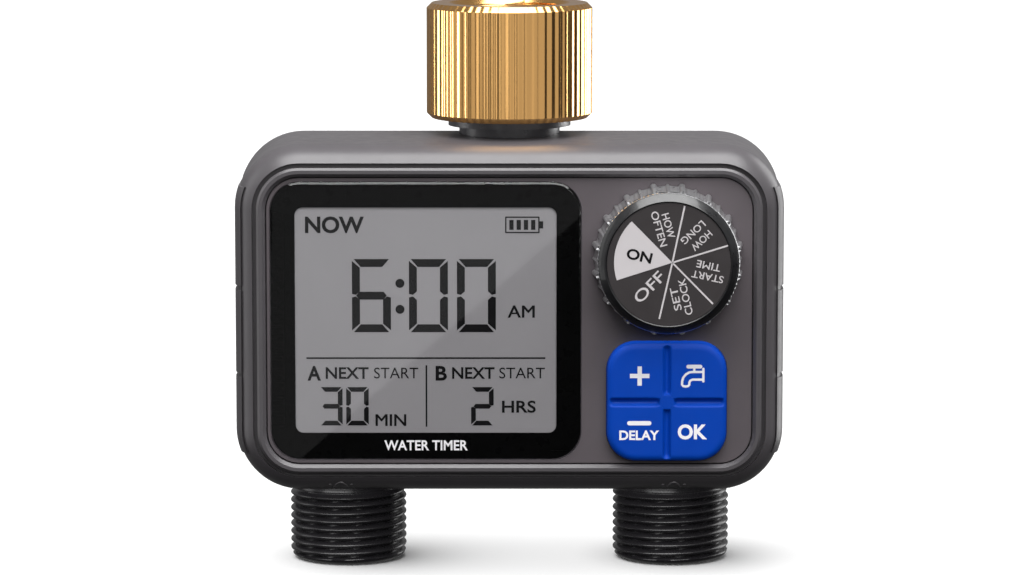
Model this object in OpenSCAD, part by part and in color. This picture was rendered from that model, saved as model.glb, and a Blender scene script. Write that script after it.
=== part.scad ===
// Two-outlet hose irrigation timer: battery-powered controller with a display,
// a six-way selector dial, a four-key pad, a swivel inlet nut and two valves.
// +Z is up, +Y is the back. The origin is on the ground, in the middle of the
// whole object's width and depth. Millimetres.

/* [Case] */
// Width of the case at its front shoulder, without its side grips
case_w = 121; // [120:0.5:124]
// Height of the case
case_h = 77.4; // [77:0.2:79]
// Depth of the case from the bezel ring to the back
case_d = 58; // [58:0.5:60]
// Height of the case's underside above the outlets' ends
case_z = 19.3; // [19:0.1:21]
// Radius of the case's four outer corners
corner_r = 14; // [13.5:0.5:15]
// Thickness of the shells
wall = 2.4; // [2:0.1:2.6]
// Distance from the bezel ring back to the water inlet's axis
axis_depth = 29; // [28.5:0.1:29.5]

/* [Display] */
// Width of the black-bordered lens
lens_w = 68.7; // [67:0.1:69]
// Height of the lens
lens_h = 62; // [60:0.1:62.2]
// Width of the clear window in the lens
window_w = 57.8; // [55:0.1:58]
// Height of the clear window
window_h = 50.3; // [48:0.1:50.5]

/* [Controls] */
// Distance of the dial and the keys to the right of the middle
control_x = 34.8; // [34:0.1:35]
// Radius of the dial over its grip ribs
dial_r = 17.35; // [17:0.05:17.4]
// How far the dial stands in front of the bezel ring
dial_proud = 10; // [9:0.5:11]
// Number of grip ribs round the dial
dial_ribs = 16; // [12:1:20]
// Side of the square four-key pad
pad_side = 26.5; // [26:0.1:26.6]
// Travel of a key
key_travel = 1; // [0.6:0.1:1]

/* [Water fittings] */
// Distance between the two outlets' axes
outlet_pitch = 73.5; // [73:0.5:75]
// Outer diameter of the outlets' G3/4 pipe thread
thread_d = 26.44; // [26:0.01:27]
// Pitch of the thread
thread_pitch = 1.814; // [1.7:0.001:1.9]
// Outer diameter of the knurled inlet nut
nut_d = 37.4; // [36:0.1:38]
// Height of the nut
nut_h = 25.9; // [25:0.1:26.5]
// Number of flutes round the nut
nut_flutes = 60; // [48:2:72]
// Lift of the valve plungers
valve_lift = 1.5; // [1:0.1:1.5]

/* [Batteries] */
// Diameter of an AA cell
cell_d = 14.3; // [14:0.1:14.5]
// Length of a cell without its contact nub
cell_l = 49.2; // [49:0.1:49.2]

/* [Hidden] */

$fn = 64;
eps = 0.1;

// Depths, front to back
y_dial = -(case_d + dial_proud) / 2;
y_ring = y_dial + dial_proud;
y_back = y_ring + case_d;
y_axis = y_ring + axis_depth;
y_fascia = y_ring + 1.2;
y_floor = y_ring + 2.8;
y_floor_back = y_floor + 2;
y_board = y_ring + 12;
board_t = 1.6;

// Heights
case_cz = case_z + case_h / 2;
case_top = case_z + case_h;

// Shell outline
front_fillet = 8;
y_arc = y_ring + 7.8;
back_fillet = 12;
seam_flare = 0.6;
rear_step = 1.7;
lip_t = 3;
seam_w = case_w + 2 * seam_flare;
seam_h = case_h + 2 * seam_flare;
seam_r = corner_r + seam_flare;
groove_inset = 3.7;
ring_outer_inset = 4.7;
groove_depth = 1.6;
ring_inner_inset = 6.65;
fascia_inset = 6.95;
grip_t = 0.4;
grip_edge = 1.1;
grip_zs = [[28, 45], [46, 64.5], [65.5, 87.5]];
span_w = case_w - 2 * corner_r;
span_h = case_h - 2 * corner_r;

// Display
display_at = [-18.5, case_cz - 0.1];
lcd_at = [-18.5, case_cz];
lens_r = 6.6;
lens_t = 1.5;
y_lens = y_fascia - 0.7;
border_t = 0.1;
lcd_opening = [62.6, 54.6];
lcd_size = [60.4, 52.6];
lcd_t = 2.2;
y_lcd = y_lens + lens_t + border_t + 0.2;

// Controls
dial_at = [control_x, case_cz + 14];
pad_at = [control_x, case_cz - 17.8];
pad_r = 6.5;
key_proud = 2.6;
key_gap = 0.15;
web_w = 1.3;
hub_r = 1.6;
stem_offset = 6.9;
shaft_r = 3;
shaft_hole_r = 4.1;
label_r = 13.6;
dial_gap = 0.3;

// Case screws and board screws
boss_at = [for (sx = [-1, 1], sz = [-1, 1]) [sx * 54, case_cz + sz * 29.7]];
board_boss_at = [[-54.9, 44], [-54.9, 72], [18.5, 57.2], [51.5, 57.2]];
boss_r = 3;
screw_r = 1.4;

// Inlet stack
neck_r = 11.35;
neck_flange_r = 13;
collar_r = 13.8;
collar_z = case_top + 2.3;
collar_t = 1.4;
water_r = 7;
stem_r = 9.2;
stem_press_r = 8.2;
stem_flange_r = 11.75;
nut_z = collar_z + collar_t + 0.3;
nut_top = nut_z + nut_h;
nut_bore_r = 12.06;
nut_lip_z = nut_z + 5.6;
relief_top = nut_z + 11.3;
nut_chamfer = 1.4;

// Outlets
thread_r = thread_d / 2;
thread_root_r = thread_r - 1.16;
outlet_bore_r = 9.2;
outlet_xs = [-outlet_pitch / 2, outlet_pitch / 2];
thread_turns = 7;
first_crest_z = 2.7;
crest_half = 0.18;
flank = 0.62;
outlet_hole_r = thread_root_r + 0.1;
flange_r = 14.4;
spigot_r = 10.6;
spigot_top = case_z + 10.7;

// Valves: both lie on an axis along Y, above their outlets
valve_z = case_cz - 6;
chamber_r = 14.2;
seat_y = y_axis + 3.5;
membrane_t = 1;
bonnet_y = seat_y + membrane_t;
ear_at = [for (sx = [-1, 1], sz = [-1, 1]) [sx * 10.3, sz * 10.3]];
gallery_z = case_cz + 24.5;
gallery_r = 8.8;
can_r = 7.4;
can_y = seat_y + 5.65;
can_end = y_back - 5;
plunger_r = 3;
plunger_y = seat_y + 4.2;
plunger_end = y_back - 10.5;

// Battery bay and its door
bay_w = 55.2;
bay_h = 30.2;
bay_at = [0, case_cz + 0.3];
bay_wall = 1.4;
bay_y = y_axis + 11;
bay_end = y_back - 2.2;
cell_y = bay_y + 7.6;
cell_zs = [bay_at[1] - 7.45, bay_at[1] + 7.45];
door_w = 66;
door_h = 40.6;
door_z = bay_at[1] - 20.9;
door_t = 2.1;
hinge_y = y_back - 1.6;
hinge_z = door_z + door_h;
barrel_r = 1.6;
pin_r = 0.9;

// ---------------------------------------------------------------- shared shapes

// A centred rectangle with round corners
module rounded_rect(w, h, r) {
    square([w - 2 * r, h], center = true);
    square([w, h - 2 * r], center = true);
    for (sx = [-1, 1], sy = [-1, 1])
        translate([sx * (w / 2 - r), sy * (h / 2 - r)]) circle(r);
}

// A round-cornered plate facing forward, from depth y0 back to y1, centred at [x, z]
module slab(w, h, r, y0, y1, at = [0, case_cz]) {
    translate([at[0], y1, at[1]]) rotate([90, 0, 0])
        linear_extrude(y1 - y0) rounded_rect(w, h, r);
}

// A plain box from one corner to the other
module block(low, high) {
    translate(low) cube(high - low);
}

// A cylinder along Y at [x, z]
module rod_y(r, y0, y1, at) {
    translate([at[0], y0, at[1]]) rotate([-90, 0, 0]) cylinder(r = r, h = y1 - y0);
}

// A cylinder along X at [y, z]
module rod_x(r, x0, x1, at) {
    translate([x0, at[0], at[1]]) rotate([0, 90, 0]) cylinder(r = r, h = x1 - x0);
}

// An upright cylinder at [x, y]
module rod_z(r, z0, z1, at) {
    translate([at[0], at[1], z0]) cylinder(r = r, h = z1 - z0);
}

// An upright tube at [x, y]
module tube_z(r, bore, z0, z1, at) {
    difference() {
        rod_z(r, z0, z1, at);
        rod_z(bore, z0 - eps, z1 + eps, at);
    }
}

// A ring of round section lying across the Y axis
module o_ring_y(r, section, y, at) {
    translate([at[0], y, at[1]]) rotate([-90, 0, 0])
        rotate_extrude() translate([r, 0]) circle(section);
}

// An upright-axis ring of round section
module o_ring_z(r, section, z, at) {
    translate([at[0], at[1], z]) rotate_extrude() translate([r, 0]) circle(section);
}

// Sweeps a section round the case outline. The section's x runs outward from the
// corner centres and its y is the depth; y0 and y1 close the flat middle.
module outline_sweep(y0, y1) {
    translate([0, 0, case_cz]) {
        translate([-span_w / 2, y0, -span_h / 2]) cube([span_w, y1 - y0, span_h]);
        for (sx = [-1, 1]) {
            mirror([sx < 0 ? 1 : 0, 0, 0])
                translate([span_w / 2, 0, -span_h / 2]) linear_extrude(span_h) children();
            mirror([0, 0, sx < 0 ? 1 : 0])
                translate([span_w / 2, 0, span_h / 2]) rotate([0, -90, 0])
                    linear_extrude(span_w) children();
        }
        for (sx = [-1, 1], sz = [-1, 1])
            mirror([sx < 0 ? 1 : 0, 0, 0]) mirror([0, 0, sz > 0 ? 1 : 0])
                translate([span_w / 2, 0, -span_h / 2]) rotate([-90, 0, 0])
                    rotate_extrude(angle = 90) children();
    }
}

// Points of a smooth curve through a list of points (Catmull-Rom)
function curve_point(a, b, c, d, t) =
    0.5 * (2 * b + (c - a) * t + (2 * a - 5 * b + 4 * c - d) * t * t
        + (3 * b - a - 3 * c + d) * t * t * t);
function smooth_path(p, steps) = [
    for (i = [0:len(p) - 2], s = [0:steps - 1])
        curve_point(p[max(i - 1, 0)], p[i], p[i + 1], p[min(i + 2, len(p) - 1)], s / steps),
    p[len(p) - 1]];
function unit(v) = v / norm(v);

// A round wire swept along points, which never run along the given up vector
module wire(points, r, up = [0, 0, 1], sides = 8) {
    n = len(points);
    tangents = [for (i = [0:n - 1]) unit(points[min(i + 1, n - 1)] - points[max(i - 1, 0)])];
    rings = [for (i = [0:n - 1], k = [0:sides - 1])
        let (u = unit(cross(up, tangents[i])), v = cross(tangents[i], u), a = 360 * k / sides)
        points[i] + r * (cos(a) * u + sin(a) * v)];
    walls = [for (i = [0:n - 2], k = [0:sides - 1])
        [(i + 1) * sides + k, (i + 1) * sides + (k + 1) % sides,
         i * sides + (k + 1) % sides, i * sides + k]];
    polyhedron(rings, concat(walls, [[for (k = [0:sides - 1]) k]],
        [[for (k = [sides - 1:-1:0]) (n - 1) * sides + k]]), convexity = 6);
}

// A compression spring along +Z, from z = 0 to its length
module coil_spring(r, wire_r, length, turns) {
    steps = turns * 14;
    wire([for (i = [0:steps])
        [r * cos(360 * i / 14), r * sin(360 * i / 14),
         wire_r + (length - 2 * wire_r) * i / steps]], wire_r, sides = 6);
}

// ---------------------------------------------------------------- case

// Section of the front housing: side that flares to the seam, shoulder, groove and ring
module front_section() {
    edge_y = y_arc - sqrt(front_fillet ^ 2 - (front_fillet - groove_inset) ^ 2);
    ring_out = corner_r - ring_outer_inset;
    ring_in = corner_r - ring_inner_inset;
    ease = 0.5;
    translate([0, y_floor]) square([ring_in + 1, y_axis - y_floor]);
    polygon([[0, y_arc], [corner_r, y_arc], [seam_r, y_axis], [0, y_axis]]);
    difference() {
        intersection() {
            translate([corner_r - front_fillet, y_arc]) circle(front_fillet);
            translate([ring_in + 0.5, edge_y])
                square([corner_r - ring_in, y_arc - edge_y + eps]);
        }
        translate([ring_out, edge_y - eps])
            square([ring_outer_inset - groove_inset, groove_depth + eps]);
    }
    polygon([[ring_in, y_floor + 0.5], [ring_in, y_ring + ease + 0.2],
        [ring_in + ease + 0.2, y_ring], [ring_out - ease, y_ring],
        [ring_out, y_ring + ease], [ring_out, y_floor + 0.5]]);
}

// Section of the rear housing: a lip at the seam, then a slightly smaller body that ends
// in one large fillet, reduced by an inset for the inside
module back_section(inset) {
    y1 = y_back - back_fillet;
    x1 = seam_r - rear_step - back_fillet;
    r = back_fillet - inset;
    y0 = y_axis - (inset > 0 ? eps : 0);
    translate([0, y0]) square([seam_r - inset, y_axis + lip_t - inset / 2 - y0]);
    translate([0, y0]) square([x1 + r, y1 - y0]);
    translate([0, y0]) square([x1, y1 + r - y0]);
    intersection() {
        translate([x1, y1]) circle(r);
        translate([x1 - eps, y1 - eps]) square([r + 2 * eps, r + 2 * eps]);
    }
}

// Holes that both shells share where they meet: the inlet neck and the outlets
module seam_holes() {
    rod_z(neck_r + 0.1, case_top - wall - 1, case_top + 1, [0, y_axis]);
    rod_z(neck_flange_r + 0.1, case_top - 5, case_top - wall, [0, y_axis]);
    for (x = outlet_xs) {
        rod_z(outlet_hole_r, case_z - 1, case_z + wall + 1, [x, y_axis]);
        rod_z(flange_r + 0.1, case_z + wall, case_z + wall + 2.2, [x, y_axis]);
    }
}

module front_housing() color([0.32, 0.31, 0.32]) difference() {
    union() {
        difference() {
            outline_sweep(y_floor, y_axis) front_section();
            slab(case_w - 2 * wall, case_h - 2 * wall, corner_r - wall, y_ring + 9.5, y_axis + eps);
            slab(case_w - 13.2, case_h - 13.2, corner_r - 6.6, y_floor_back, y_ring + 9.6);
        }
        grip_strips();
        for (p = boss_at) rod_y(boss_r, y_floor_back - 1, y_axis, p);
        for (p = board_boss_at) rod_y(2.2, y_floor_back - 1, y_board, p);
    }
    grip_groove();
    seam_holes();
    slab(lcd_opening[0], lcd_opening[1], 1.5, y_floor - eps, y_floor_back + eps, lcd_at);
    slab(pad_side + 0.3, pad_side + 0.3, pad_r, y_floor - eps, y_floor_back + eps, pad_at);
    rod_y(shaft_hole_r, y_floor - eps, y_floor_back + eps, dial_at);
    for (p = boss_at) rod_y(screw_r, y_axis - 17, y_axis + eps, p);
    for (p = board_boss_at) rod_y(1, y_board - 5, y_board + eps, p);
}

// The stretches of both flanks that carry the side grips
module grip_stretches(zs) {
    for (sx = [-1, 1], e = zs)
        block([sx * 60 - 4, y_ring, e[0]], [sx * 60 + 4, y_axis, e[1]]);
}

// Side grips: three raised strips up each flank, which follow the shoulder's curve
module grip_strips() intersection() {
    outline_sweep(y_arc, y_arc + 1) intersection() {
        union() {
            translate([corner_r - front_fillet, y_arc]) circle(front_fillet + grip_t);
            translate([corner_r - front_fillet, y_arc]) square([front_fillet + grip_t, 12]);
        }
        translate([corner_r - grip_edge, y_ring]) square([grip_edge + 1, 30]);
    }
    grip_stretches(grip_zs);
}

// The narrow groove along the front edge of the side grips
module grip_groove() intersection() {
    outline_sweep(y_arc, y_arc + 1)
        translate([corner_r - grip_edge - 0.35, y_ring]) square([0.35, 4.4]);
    grip_stretches([[grip_zs[0][0], grip_zs[2][1]]]);
}

module rear_housing() color([0.27, 0.26, 0.27]) difference() {
    union() {
        difference() {
            outline_sweep(y_axis, y_back) back_section(0);
            outline_sweep(y_axis - eps, y_back - wall) back_section(wall);
        }
        intersection() {
            outline_sweep(y_axis, y_back - wall / 2) back_section(wall / 2);
            for (p = boss_at) rod_y(4.2, y_axis, y_back, p);
        }
        slab(bay_w + 2 * bay_wall, bay_h + 2 * bay_wall, 1.5, bay_y - bay_wall, y_back - 1, bay_at);
        slab(door_w + 5, bay_h + 12, 3, bay_end - 2, y_back - 1, bay_at);
        block([-door_w / 2 - 5.5, y_back - 5.6, hinge_z - 3.4],
            [door_w / 2 + 5.5, y_back - 1, hinge_z + 3.4]);
    }
    seam_holes();
    slab(bay_w, bay_h, 1, bay_y, y_back + eps, bay_at);
    door_recess();
    gasket_ring(0);
    seam_gasket_ring();
    for (sx = [-1, 1]) rod_x(pin_r, sx > 0 ? door_w / 2 : -door_w / 2 - 4, sx > 0
        ? door_w / 2 + 4 : -door_w / 2, [hinge_y, hinge_z]);
    for (p = boss_at) {
        rod_y(screw_r + 0.2, y_axis - eps, y_back, p);
        rod_y(2.9, y_axis + 14, y_back + eps, p);
    }
}

// Where the door lies, with room for its hinge barrel to turn
module door_recess() {
    slab(door_w + 0.4, door_h + 0.2, 1, bay_end, y_back + eps, [0, door_z + door_h / 2 - 0.1]);
    block([-door_w / 2 - 0.2, hinge_y - barrel_r - 0.2, hinge_z - barrel_r - 0.2],
        [door_w / 2 + 0.2, y_back + eps, hinge_z + barrel_r + 0.2]);
    rod_x(5, -8, 8, [y_back + 3.4, door_z + 1]);
}

// The seal ring round the battery bay's mouth
module gasket_ring(slack) {
    difference() {
        slab(61, 36, 3, bay_end - 1, bay_end + slack + eps, bay_at);
        slab(58, 33, 1.5, bay_end - 2, bay_end + 1, bay_at);
    }
}

// The seal between the two shells
module seam_gasket_ring() {
    difference() {
        slab(seam_w - 1.4, seam_h - 1.4, seam_r - 0.7, y_axis - eps, y_axis + 1);
        slab(seam_w - 3.4, seam_h - 3.4, seam_r - 1.7, y_axis - 1, y_axis + 2);
    }
}

module case_gasket() color([0.08, 0.08, 0.08]) difference() {
    slab(seam_w - 1.4, seam_h - 1.4, seam_r - 0.7, y_axis, y_axis + 1);
    slab(seam_w - 3.4, seam_h - 3.4, seam_r - 1.7, y_axis - 1, y_axis + 2);
    rod_z(neck_r + 0.5, case_top - 4, case_top + 1, [0, y_axis]);
    for (x = outlet_xs) rod_z(flange_r + 0.4, case_z - 1, case_z + 6, [x, y_axis]);
}

// A pan-head screw lying along Y with its head at the back, and a cross recess
module screw_y(r, head_r, head_t, y0, y1, at) difference() {
    union() {
        rod_y(r, y0, y1, at);
        rod_y(head_r, y1, y1 + head_t, at);
    }
    for (a = [0, 90])
        translate([at[0], y1 + head_t, at[1]]) rotate([0, a, 0])
            cube([head_r * 1.1, head_t, 0.5], center = true);
}

module case_screws() color("silver")
    for (p = boss_at) screw_y(screw_r, 2.6, 1.8, y_axis - 15, y_axis + 14, p);

// ---------------------------------------------------------------- fascia and display

module fascia_plate() color([0.34, 0.32, 0.33]) difference() {
    slab(case_w - 2 * fascia_inset, case_h - 2 * fascia_inset, corner_r - fascia_inset,
        y_fascia, y_floor);
    slab(lens_w + 0.2, lens_h + 0.2, lens_r, y_fascia - eps, y_lens + lens_t + border_t, display_at);
    slab(lcd_opening[0], lcd_opening[1], 1.5, y_fascia, y_floor + eps, lcd_at);
    slab(pad_side + 0.3, pad_side + 0.3, pad_r, y_fascia - eps, y_floor + eps, pad_at);
    rod_y(shaft_hole_r, y_fascia - eps, y_floor + eps, dial_at);
}

module display_lens() color([0.75, 0.78, 0.8, 0.4])
    slab(lens_w, lens_h, lens_r, y_lens, y_lens + lens_t, display_at);

module lens_border() color([0.02, 0.02, 0.02]) difference() {
    slab(lens_w - 0.2, lens_h - 0.2, lens_r - 0.1, y_lens + lens_t,
        y_lens + lens_t + border_t, display_at);
    slab(window_w, window_h, 1.8, y_lens, y_lens + lens_t + 1, lcd_at);
}

module lcd_glass() color([0.56, 0.55, 0.55])
    slab(lcd_size[0], lcd_size[1], 0.4, y_lcd, y_lcd + lcd_t, lcd_at);

module lcd_frame() color("white") difference() {
    union() {
        slab(64, 56, 1.5, y_floor_back + 0.1, y_board, lcd_at);
        slab(61.8, 53.8, 1, y_lcd + lcd_t, y_floor_back + 1, lcd_at);
    }
    slab(56, 48, 1, y_lcd, y_board + eps, lcd_at);
}

module lcd_connectors() color([0.9, 0.6, 0.65])
    for (sz = [-1, 1])
        block([lcd_at[0] - 25, y_lcd + lcd_t, lcd_at[1] + sz * 22.6 - 1],
            [lcd_at[0] + 25, y_board, lcd_at[1] + sz * 22.6 + 1]);

module circuit_board() color([0.05, 0.32, 0.16]) difference() {
    block([-57.3, y_board, 34], [54.5, y_board + board_t, 82]);
    for (p = board_boss_at) rod_y(1.2, y_board - 1, y_board + board_t + 1, p);
}

module board_screws() color("silver")
    for (p = board_boss_at) screw_y(1, 2, 1.2, y_board - 4, y_board + board_t, p);

// ---------------------------------------------------------------- controls

// Where each key sits in the pad: left or right, upper or lower
key_side = [["key_plus", -1, 1], ["key_tap", 1, 1], ["key_minus", -1, -1], ["key_ok", 1, -1]];

module key_switches() color([0.15, 0.15, 0.16])
    for (k = key_side) {
        at = [pad_at[0] + k[1] * stem_offset, pad_at[1] + k[2] * stem_offset];
        slab(6, 6, 0.3, y_board - 3.4, y_board, at);
        rod_y(1.75, y_board - 4.2, y_board - 3.3, at);
    }

module keypad_mat() color([0.02, 0.2, 0.63]) difference() {
    union() {
        slab(28.5, 28.5, 7, y_floor_back, y_floor_back + 1, pad_at);
        web_front = y_fascia - key_proud + 1;
        for (a = [0, 1])
            slab(a == 0 ? web_w : pad_side - 0.4, a == 0 ? pad_side - 0.4 : web_w, 0.3,
                web_front, y_floor_back + 0.5, pad_at);
        rod_y(hub_r, y_fascia - key_proud + 0.2, y_floor_back, pad_at);
    }
    for (k = key_side)
        rod_y(2.4, y_floor_back - 1, y_floor_back + 2,
            [pad_at[0] + k[1] * stem_offset, pad_at[1] + k[2] * stem_offset]);
}

// One key: a quarter of the pad with a stem that reaches its switch
module key(side_x, side_z) color([0.03, 0.25, 0.68]) {
    inner = web_w / 2 + key_gap;
    y0 = y_fascia - key_proud;
    difference() {
        intersection() {
            slab(pad_side, pad_side, pad_r - 0.1, y0, y_floor_back - key_travel - 0.1, pad_at);
            translate([pad_at[0], 0, pad_at[1]])
                block([side_x > 0 ? inner : -20, y0 - 1, side_z > 0 ? inner : -20],
                    [side_x > 0 ? 20 : -inner, y_floor_back, side_z > 0 ? 20 : -inner]);
        }
        rod_y(hub_r + key_gap, y0 - 1, y_floor_back, pad_at);
    }
    rod_y(2.2, y_floor_back - 2, y_board - 4.3 - key_travel,
        [pad_at[0] + side_x * stem_offset, pad_at[1] + side_z * stem_offset]);
}

module key_plus() key(-1, 1);
module key_tap() key(1, 1);
module key_minus() key(-1, -1);
module key_ok() key(1, -1);

module dial_knob() color([0.2, 0.2, 0.21]) {
    skirt_y = y_fascia - dial_gap;
    shoulder_y = y_dial + 2;
    base_r = dial_r - 0.75;
    top_r = base_r - 0.9;
    lean = atan((base_r - top_r) / (skirt_y - shoulder_y));
    difference() {
        union() {
            translate([dial_at[0], 0, dial_at[1]]) rotate([-90, 0, 0]) rotate_extrude()
                polygon([[0, y_dial], [label_r + 0.3, y_dial], [top_r, shoulder_y],
                    [base_r, skirt_y], [0, skirt_y]]);
            for (i = [0:dial_ribs - 1])
                translate([dial_at[0], skirt_y, dial_at[1]])
                    rotate([0, (i + 0.5) * 360 / dial_ribs, 0]) translate([base_r - 0.1, 0, 0])
                        rotate([90, 0, -lean]) cylinder(r = 0.8, h = skirt_y - shoulder_y);
        }
        rod_y(label_r, y_dial - eps, y_dial + 0.5, dial_at);
        difference() {
            rod_y(13, y_dial + 3, skirt_y + eps, dial_at);
            rod_y(6, y_dial + 2, skirt_y + 1, dial_at);
        }
        rod_y(shaft_r, y_dial + 3, skirt_y + eps, dial_at);
    }
}

module dial_label() color([0.14, 0.14, 0.14])
    rod_y(label_r - 0.1, y_dial + 0.2, y_dial + 0.5, dial_at);

module dial_shaft() color([0.85, 0.85, 0.82]) rod_y(shaft_r, y_dial + 3, y_board - 0.4, dial_at);

module dial_seal() color([0.06, 0.06, 0.06])
    o_ring_y(shaft_r + 0.55, 0.5, y_floor + 1, dial_at);

module rotary_switch() color([0.1, 0.1, 0.11]) difference() {
    union() {
        slab(17, 17, 1.5, y_board - 6.5, y_board, dial_at);
        rod_y(5, y_board - 7, y_board - 6, dial_at);
    }
    rod_y(shaft_r + 0.05, y_board - 8, y_board - 0.3, dial_at);
}

// ---------------------------------------------------------------- inlet

module nut_blank() {
    step = 360 / nut_flutes;
    valley_r = nut_d / 2 - 0.5;
    linear_extrude(nut_h)
        polygon([for (i = [0:nut_flutes - 1], k = [0, 1])
            let (r = k == 0 ? nut_d / 2 : valley_r, a = (i + k / 2) * step)
            [r * cos(a), r * sin(a)]]);
}

module inlet_nut() color([0.83, 0.62, 0.3]) translate([0, y_axis, nut_z]) difference() {
    intersection() {
        nut_blank();
        rotate_extrude()
            polygon([[0, 0], [nut_d / 2 - nut_chamfer, 0], [nut_d / 2 + 0.1, nut_chamfer],
                [nut_d / 2 + 0.1, nut_h - nut_chamfer], [nut_d / 2 - nut_chamfer, nut_h],
                [0, nut_h]]);
    }
    translate([0, 0, -1]) cylinder(r = stem_r + 0.15, h = nut_h);
    translate([0, 0, nut_lip_z - nut_z]) cylinder(r = 12.6, h = relief_top - nut_lip_z);
    translate([0, 0, nut_lip_z - nut_z]) cylinder(r = nut_bore_r, h = nut_h);
    translate([0, 0, nut_h - 1]) cylinder(r1 = nut_bore_r, r2 = nut_bore_r + 1.2, h = 1.01);
}

module swivel_stem() color([0.8, 0.6, 0.3]) difference() {
    union() {
        rod_z(stem_press_r, case_top - 2.7, collar_z + collar_t + 1, [0, y_axis]);
        rod_z(stem_r, collar_z + collar_t, nut_lip_z + 0.3, [0, y_axis]);
        rod_z(stem_flange_r, nut_lip_z + 0.2, nut_lip_z + 2.2, [0, y_axis]);
    }
    rod_z(water_r - 0.2, case_top - 5, nut_lip_z + 5, [0, y_axis]);
}

module inlet_washer() color([0.07, 0.07, 0.07])
    tube_z(12.3, 7.6, nut_lip_z + 2.2, nut_lip_z + 5.2, [0, y_axis]);

module inlet_filter() color([0.7, 0.7, 0.72]) translate([0, y_axis, nut_lip_z + 2.3])
    rotate_extrude()
        polygon([[0, 2.3], [6.2, 2.3], [6.9, 0], [7.5, 0], [7.5, 2.8], [0, 2.8]]);

module inlet_neck() color([0.3, 0.3, 0.32]) difference() {
    union() {
        rod_z(9.6, case_top - 8.6, case_top - 4, [0, y_axis]);
        rod_z(neck_flange_r, case_top - 4.6, case_top - 2.5, [0, y_axis]);
        rod_z(neck_r, case_top - 3, collar_z + collar_t, [0, y_axis]);
        rod_z(collar_r, collar_z, collar_z + collar_t, [0, y_axis]);
    }
    rod_z(water_r, case_top - 9, collar_z + 5, [0, y_axis]);
    rod_z(stem_press_r, case_top - 2.7, collar_z + 5, [0, y_axis]);
}

module neck_seal() color([0.05, 0.05, 0.05]) o_ring_z(10.2, 0.55, case_top - 5.2, [0, y_axis]);

// ---------------------------------------------------------------- outlets and valves

// Half section of an outlet: bore, chamfered end, thread crests, flange and spigot
module outlet_section() {
    crests = [for (i = [0:thread_turns - 1], k = [0:3])
        let (z = first_crest_z + i * thread_pitch)
        [k == 0 || k == 3 ? thread_root_r : thread_r,
         z + [-crest_half - flank, -crest_half, crest_half, crest_half + flank][k]]];
    polygon(concat(
        [[outlet_bore_r, 0.6], [outlet_bore_r + 0.6, 0], [thread_root_r - 0.5, 0],
         [thread_root_r, 0.8]], crests,
        [[thread_root_r, case_z + wall], [flange_r, case_z + wall],
         [flange_r, case_z + wall + 2], [spigot_r, case_z + wall + 2],
         [spigot_r, spigot_top], [outlet_bore_r, spigot_top]]));
}

module outlet_a() color([0.09, 0.09, 0.1])
    translate([outlet_xs[0], y_axis, 0]) rotate_extrude() outlet_section();
module outlet_b() color([0.09, 0.09, 0.1])
    translate([outlet_xs[1], y_axis, 0]) rotate_extrude() outlet_section();

module outlet_seals() color([0.05, 0.05, 0.05])
    for (x = outlet_xs) o_ring_z(spigot_r + 0.55, 0.5, spigot_top - 3, [x, y_axis]);

module valve_manifold() color([0.12, 0.12, 0.13]) {
    post_y = y_axis - 4;
    difference() {
        union() {
            rod_x(gallery_r, -45, 45, [y_axis, gallery_z]);
            rod_z(neck_flange_r, gallery_z - 5, case_top - 4.7, [0, y_axis]);
            for (x = outlet_xs) {
                rod_z(4.2, valve_z, gallery_z, [x, y_axis - 0.9]);
                rod_y(chamber_r, y_axis - 13.6, seat_y, [x, valve_z]);
                for (e = ear_at) rod_y(3, seat_y - 6, seat_y, [x + e[0], valve_z + e[1]]);
                rod_z(spigot_r + 2, case_z + wall + 2.1, valve_z - chamber_r - 0.6, [x, y_axis]);
                block([x - 9, post_y - 9.6, valve_z - chamber_r - 2],
                    [x + 9, seat_y - 0.1, valve_z - 11]);
            }
        }
        rod_x(6.3, -42, 42, [y_axis, gallery_z]);
        rod_z(6, gallery_z, case_top - 8, [0, y_axis]);
        rod_z(9.65, case_top - 8.7, case_top - 4, [0, y_axis]);
        rod_z(10.8, case_top - 5.8, case_top - 4, [0, y_axis]);
        for (x = outlet_xs) {
            rod_z(2.8, valve_z + 7, gallery_z, [x, y_axis - 0.9]);
            difference() {
                rod_y(11.5, post_y, seat_y + eps, [x, valve_z]);
                rod_y(6.5, post_y - 1, seat_y + 1, [x, valve_z]);
            }
            rod_y(4.5, y_axis - 10, seat_y + eps, [x, valve_z]);
            rod_z(3.8, spigot_top + 2, valve_z, [x, y_axis - 8.2]);
            rod_z(8, spigot_top, spigot_top + 4, [x, y_axis]);
            rod_z(spigot_r + 0.05, case_z + wall + 2, spigot_top + 0.1, [x, y_axis]);
            rod_z(spigot_r + 1.1, spigot_top - 3.6, spigot_top - 2.4, [x, y_axis]);
            for (e = ear_at) rod_y(0.95, seat_y - 5, seat_y + 1, [x + e[0], valve_z + e[1]]);
        }
    }
}

module diaphragm(x) color([0.1, 0.1, 0.1]) difference() {
    rod_y(13.2, seat_y, bonnet_y, [x, valve_z]);
    rod_y(4.9, seat_y - 1, bonnet_y + 1, [x, valve_z]);
}
module diaphragm_a() diaphragm(outlet_xs[0]);
module diaphragm_b() diaphragm(outlet_xs[1]);

module valve_disc(x) color([0.85, 0.85, 0.8]) rod_y(4.8, seat_y, seat_y + 2.5, [x, valve_z]);
module valve_disc_a() valve_disc(outlet_xs[0]);
module valve_disc_b() valve_disc(outlet_xs[1]);

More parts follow.
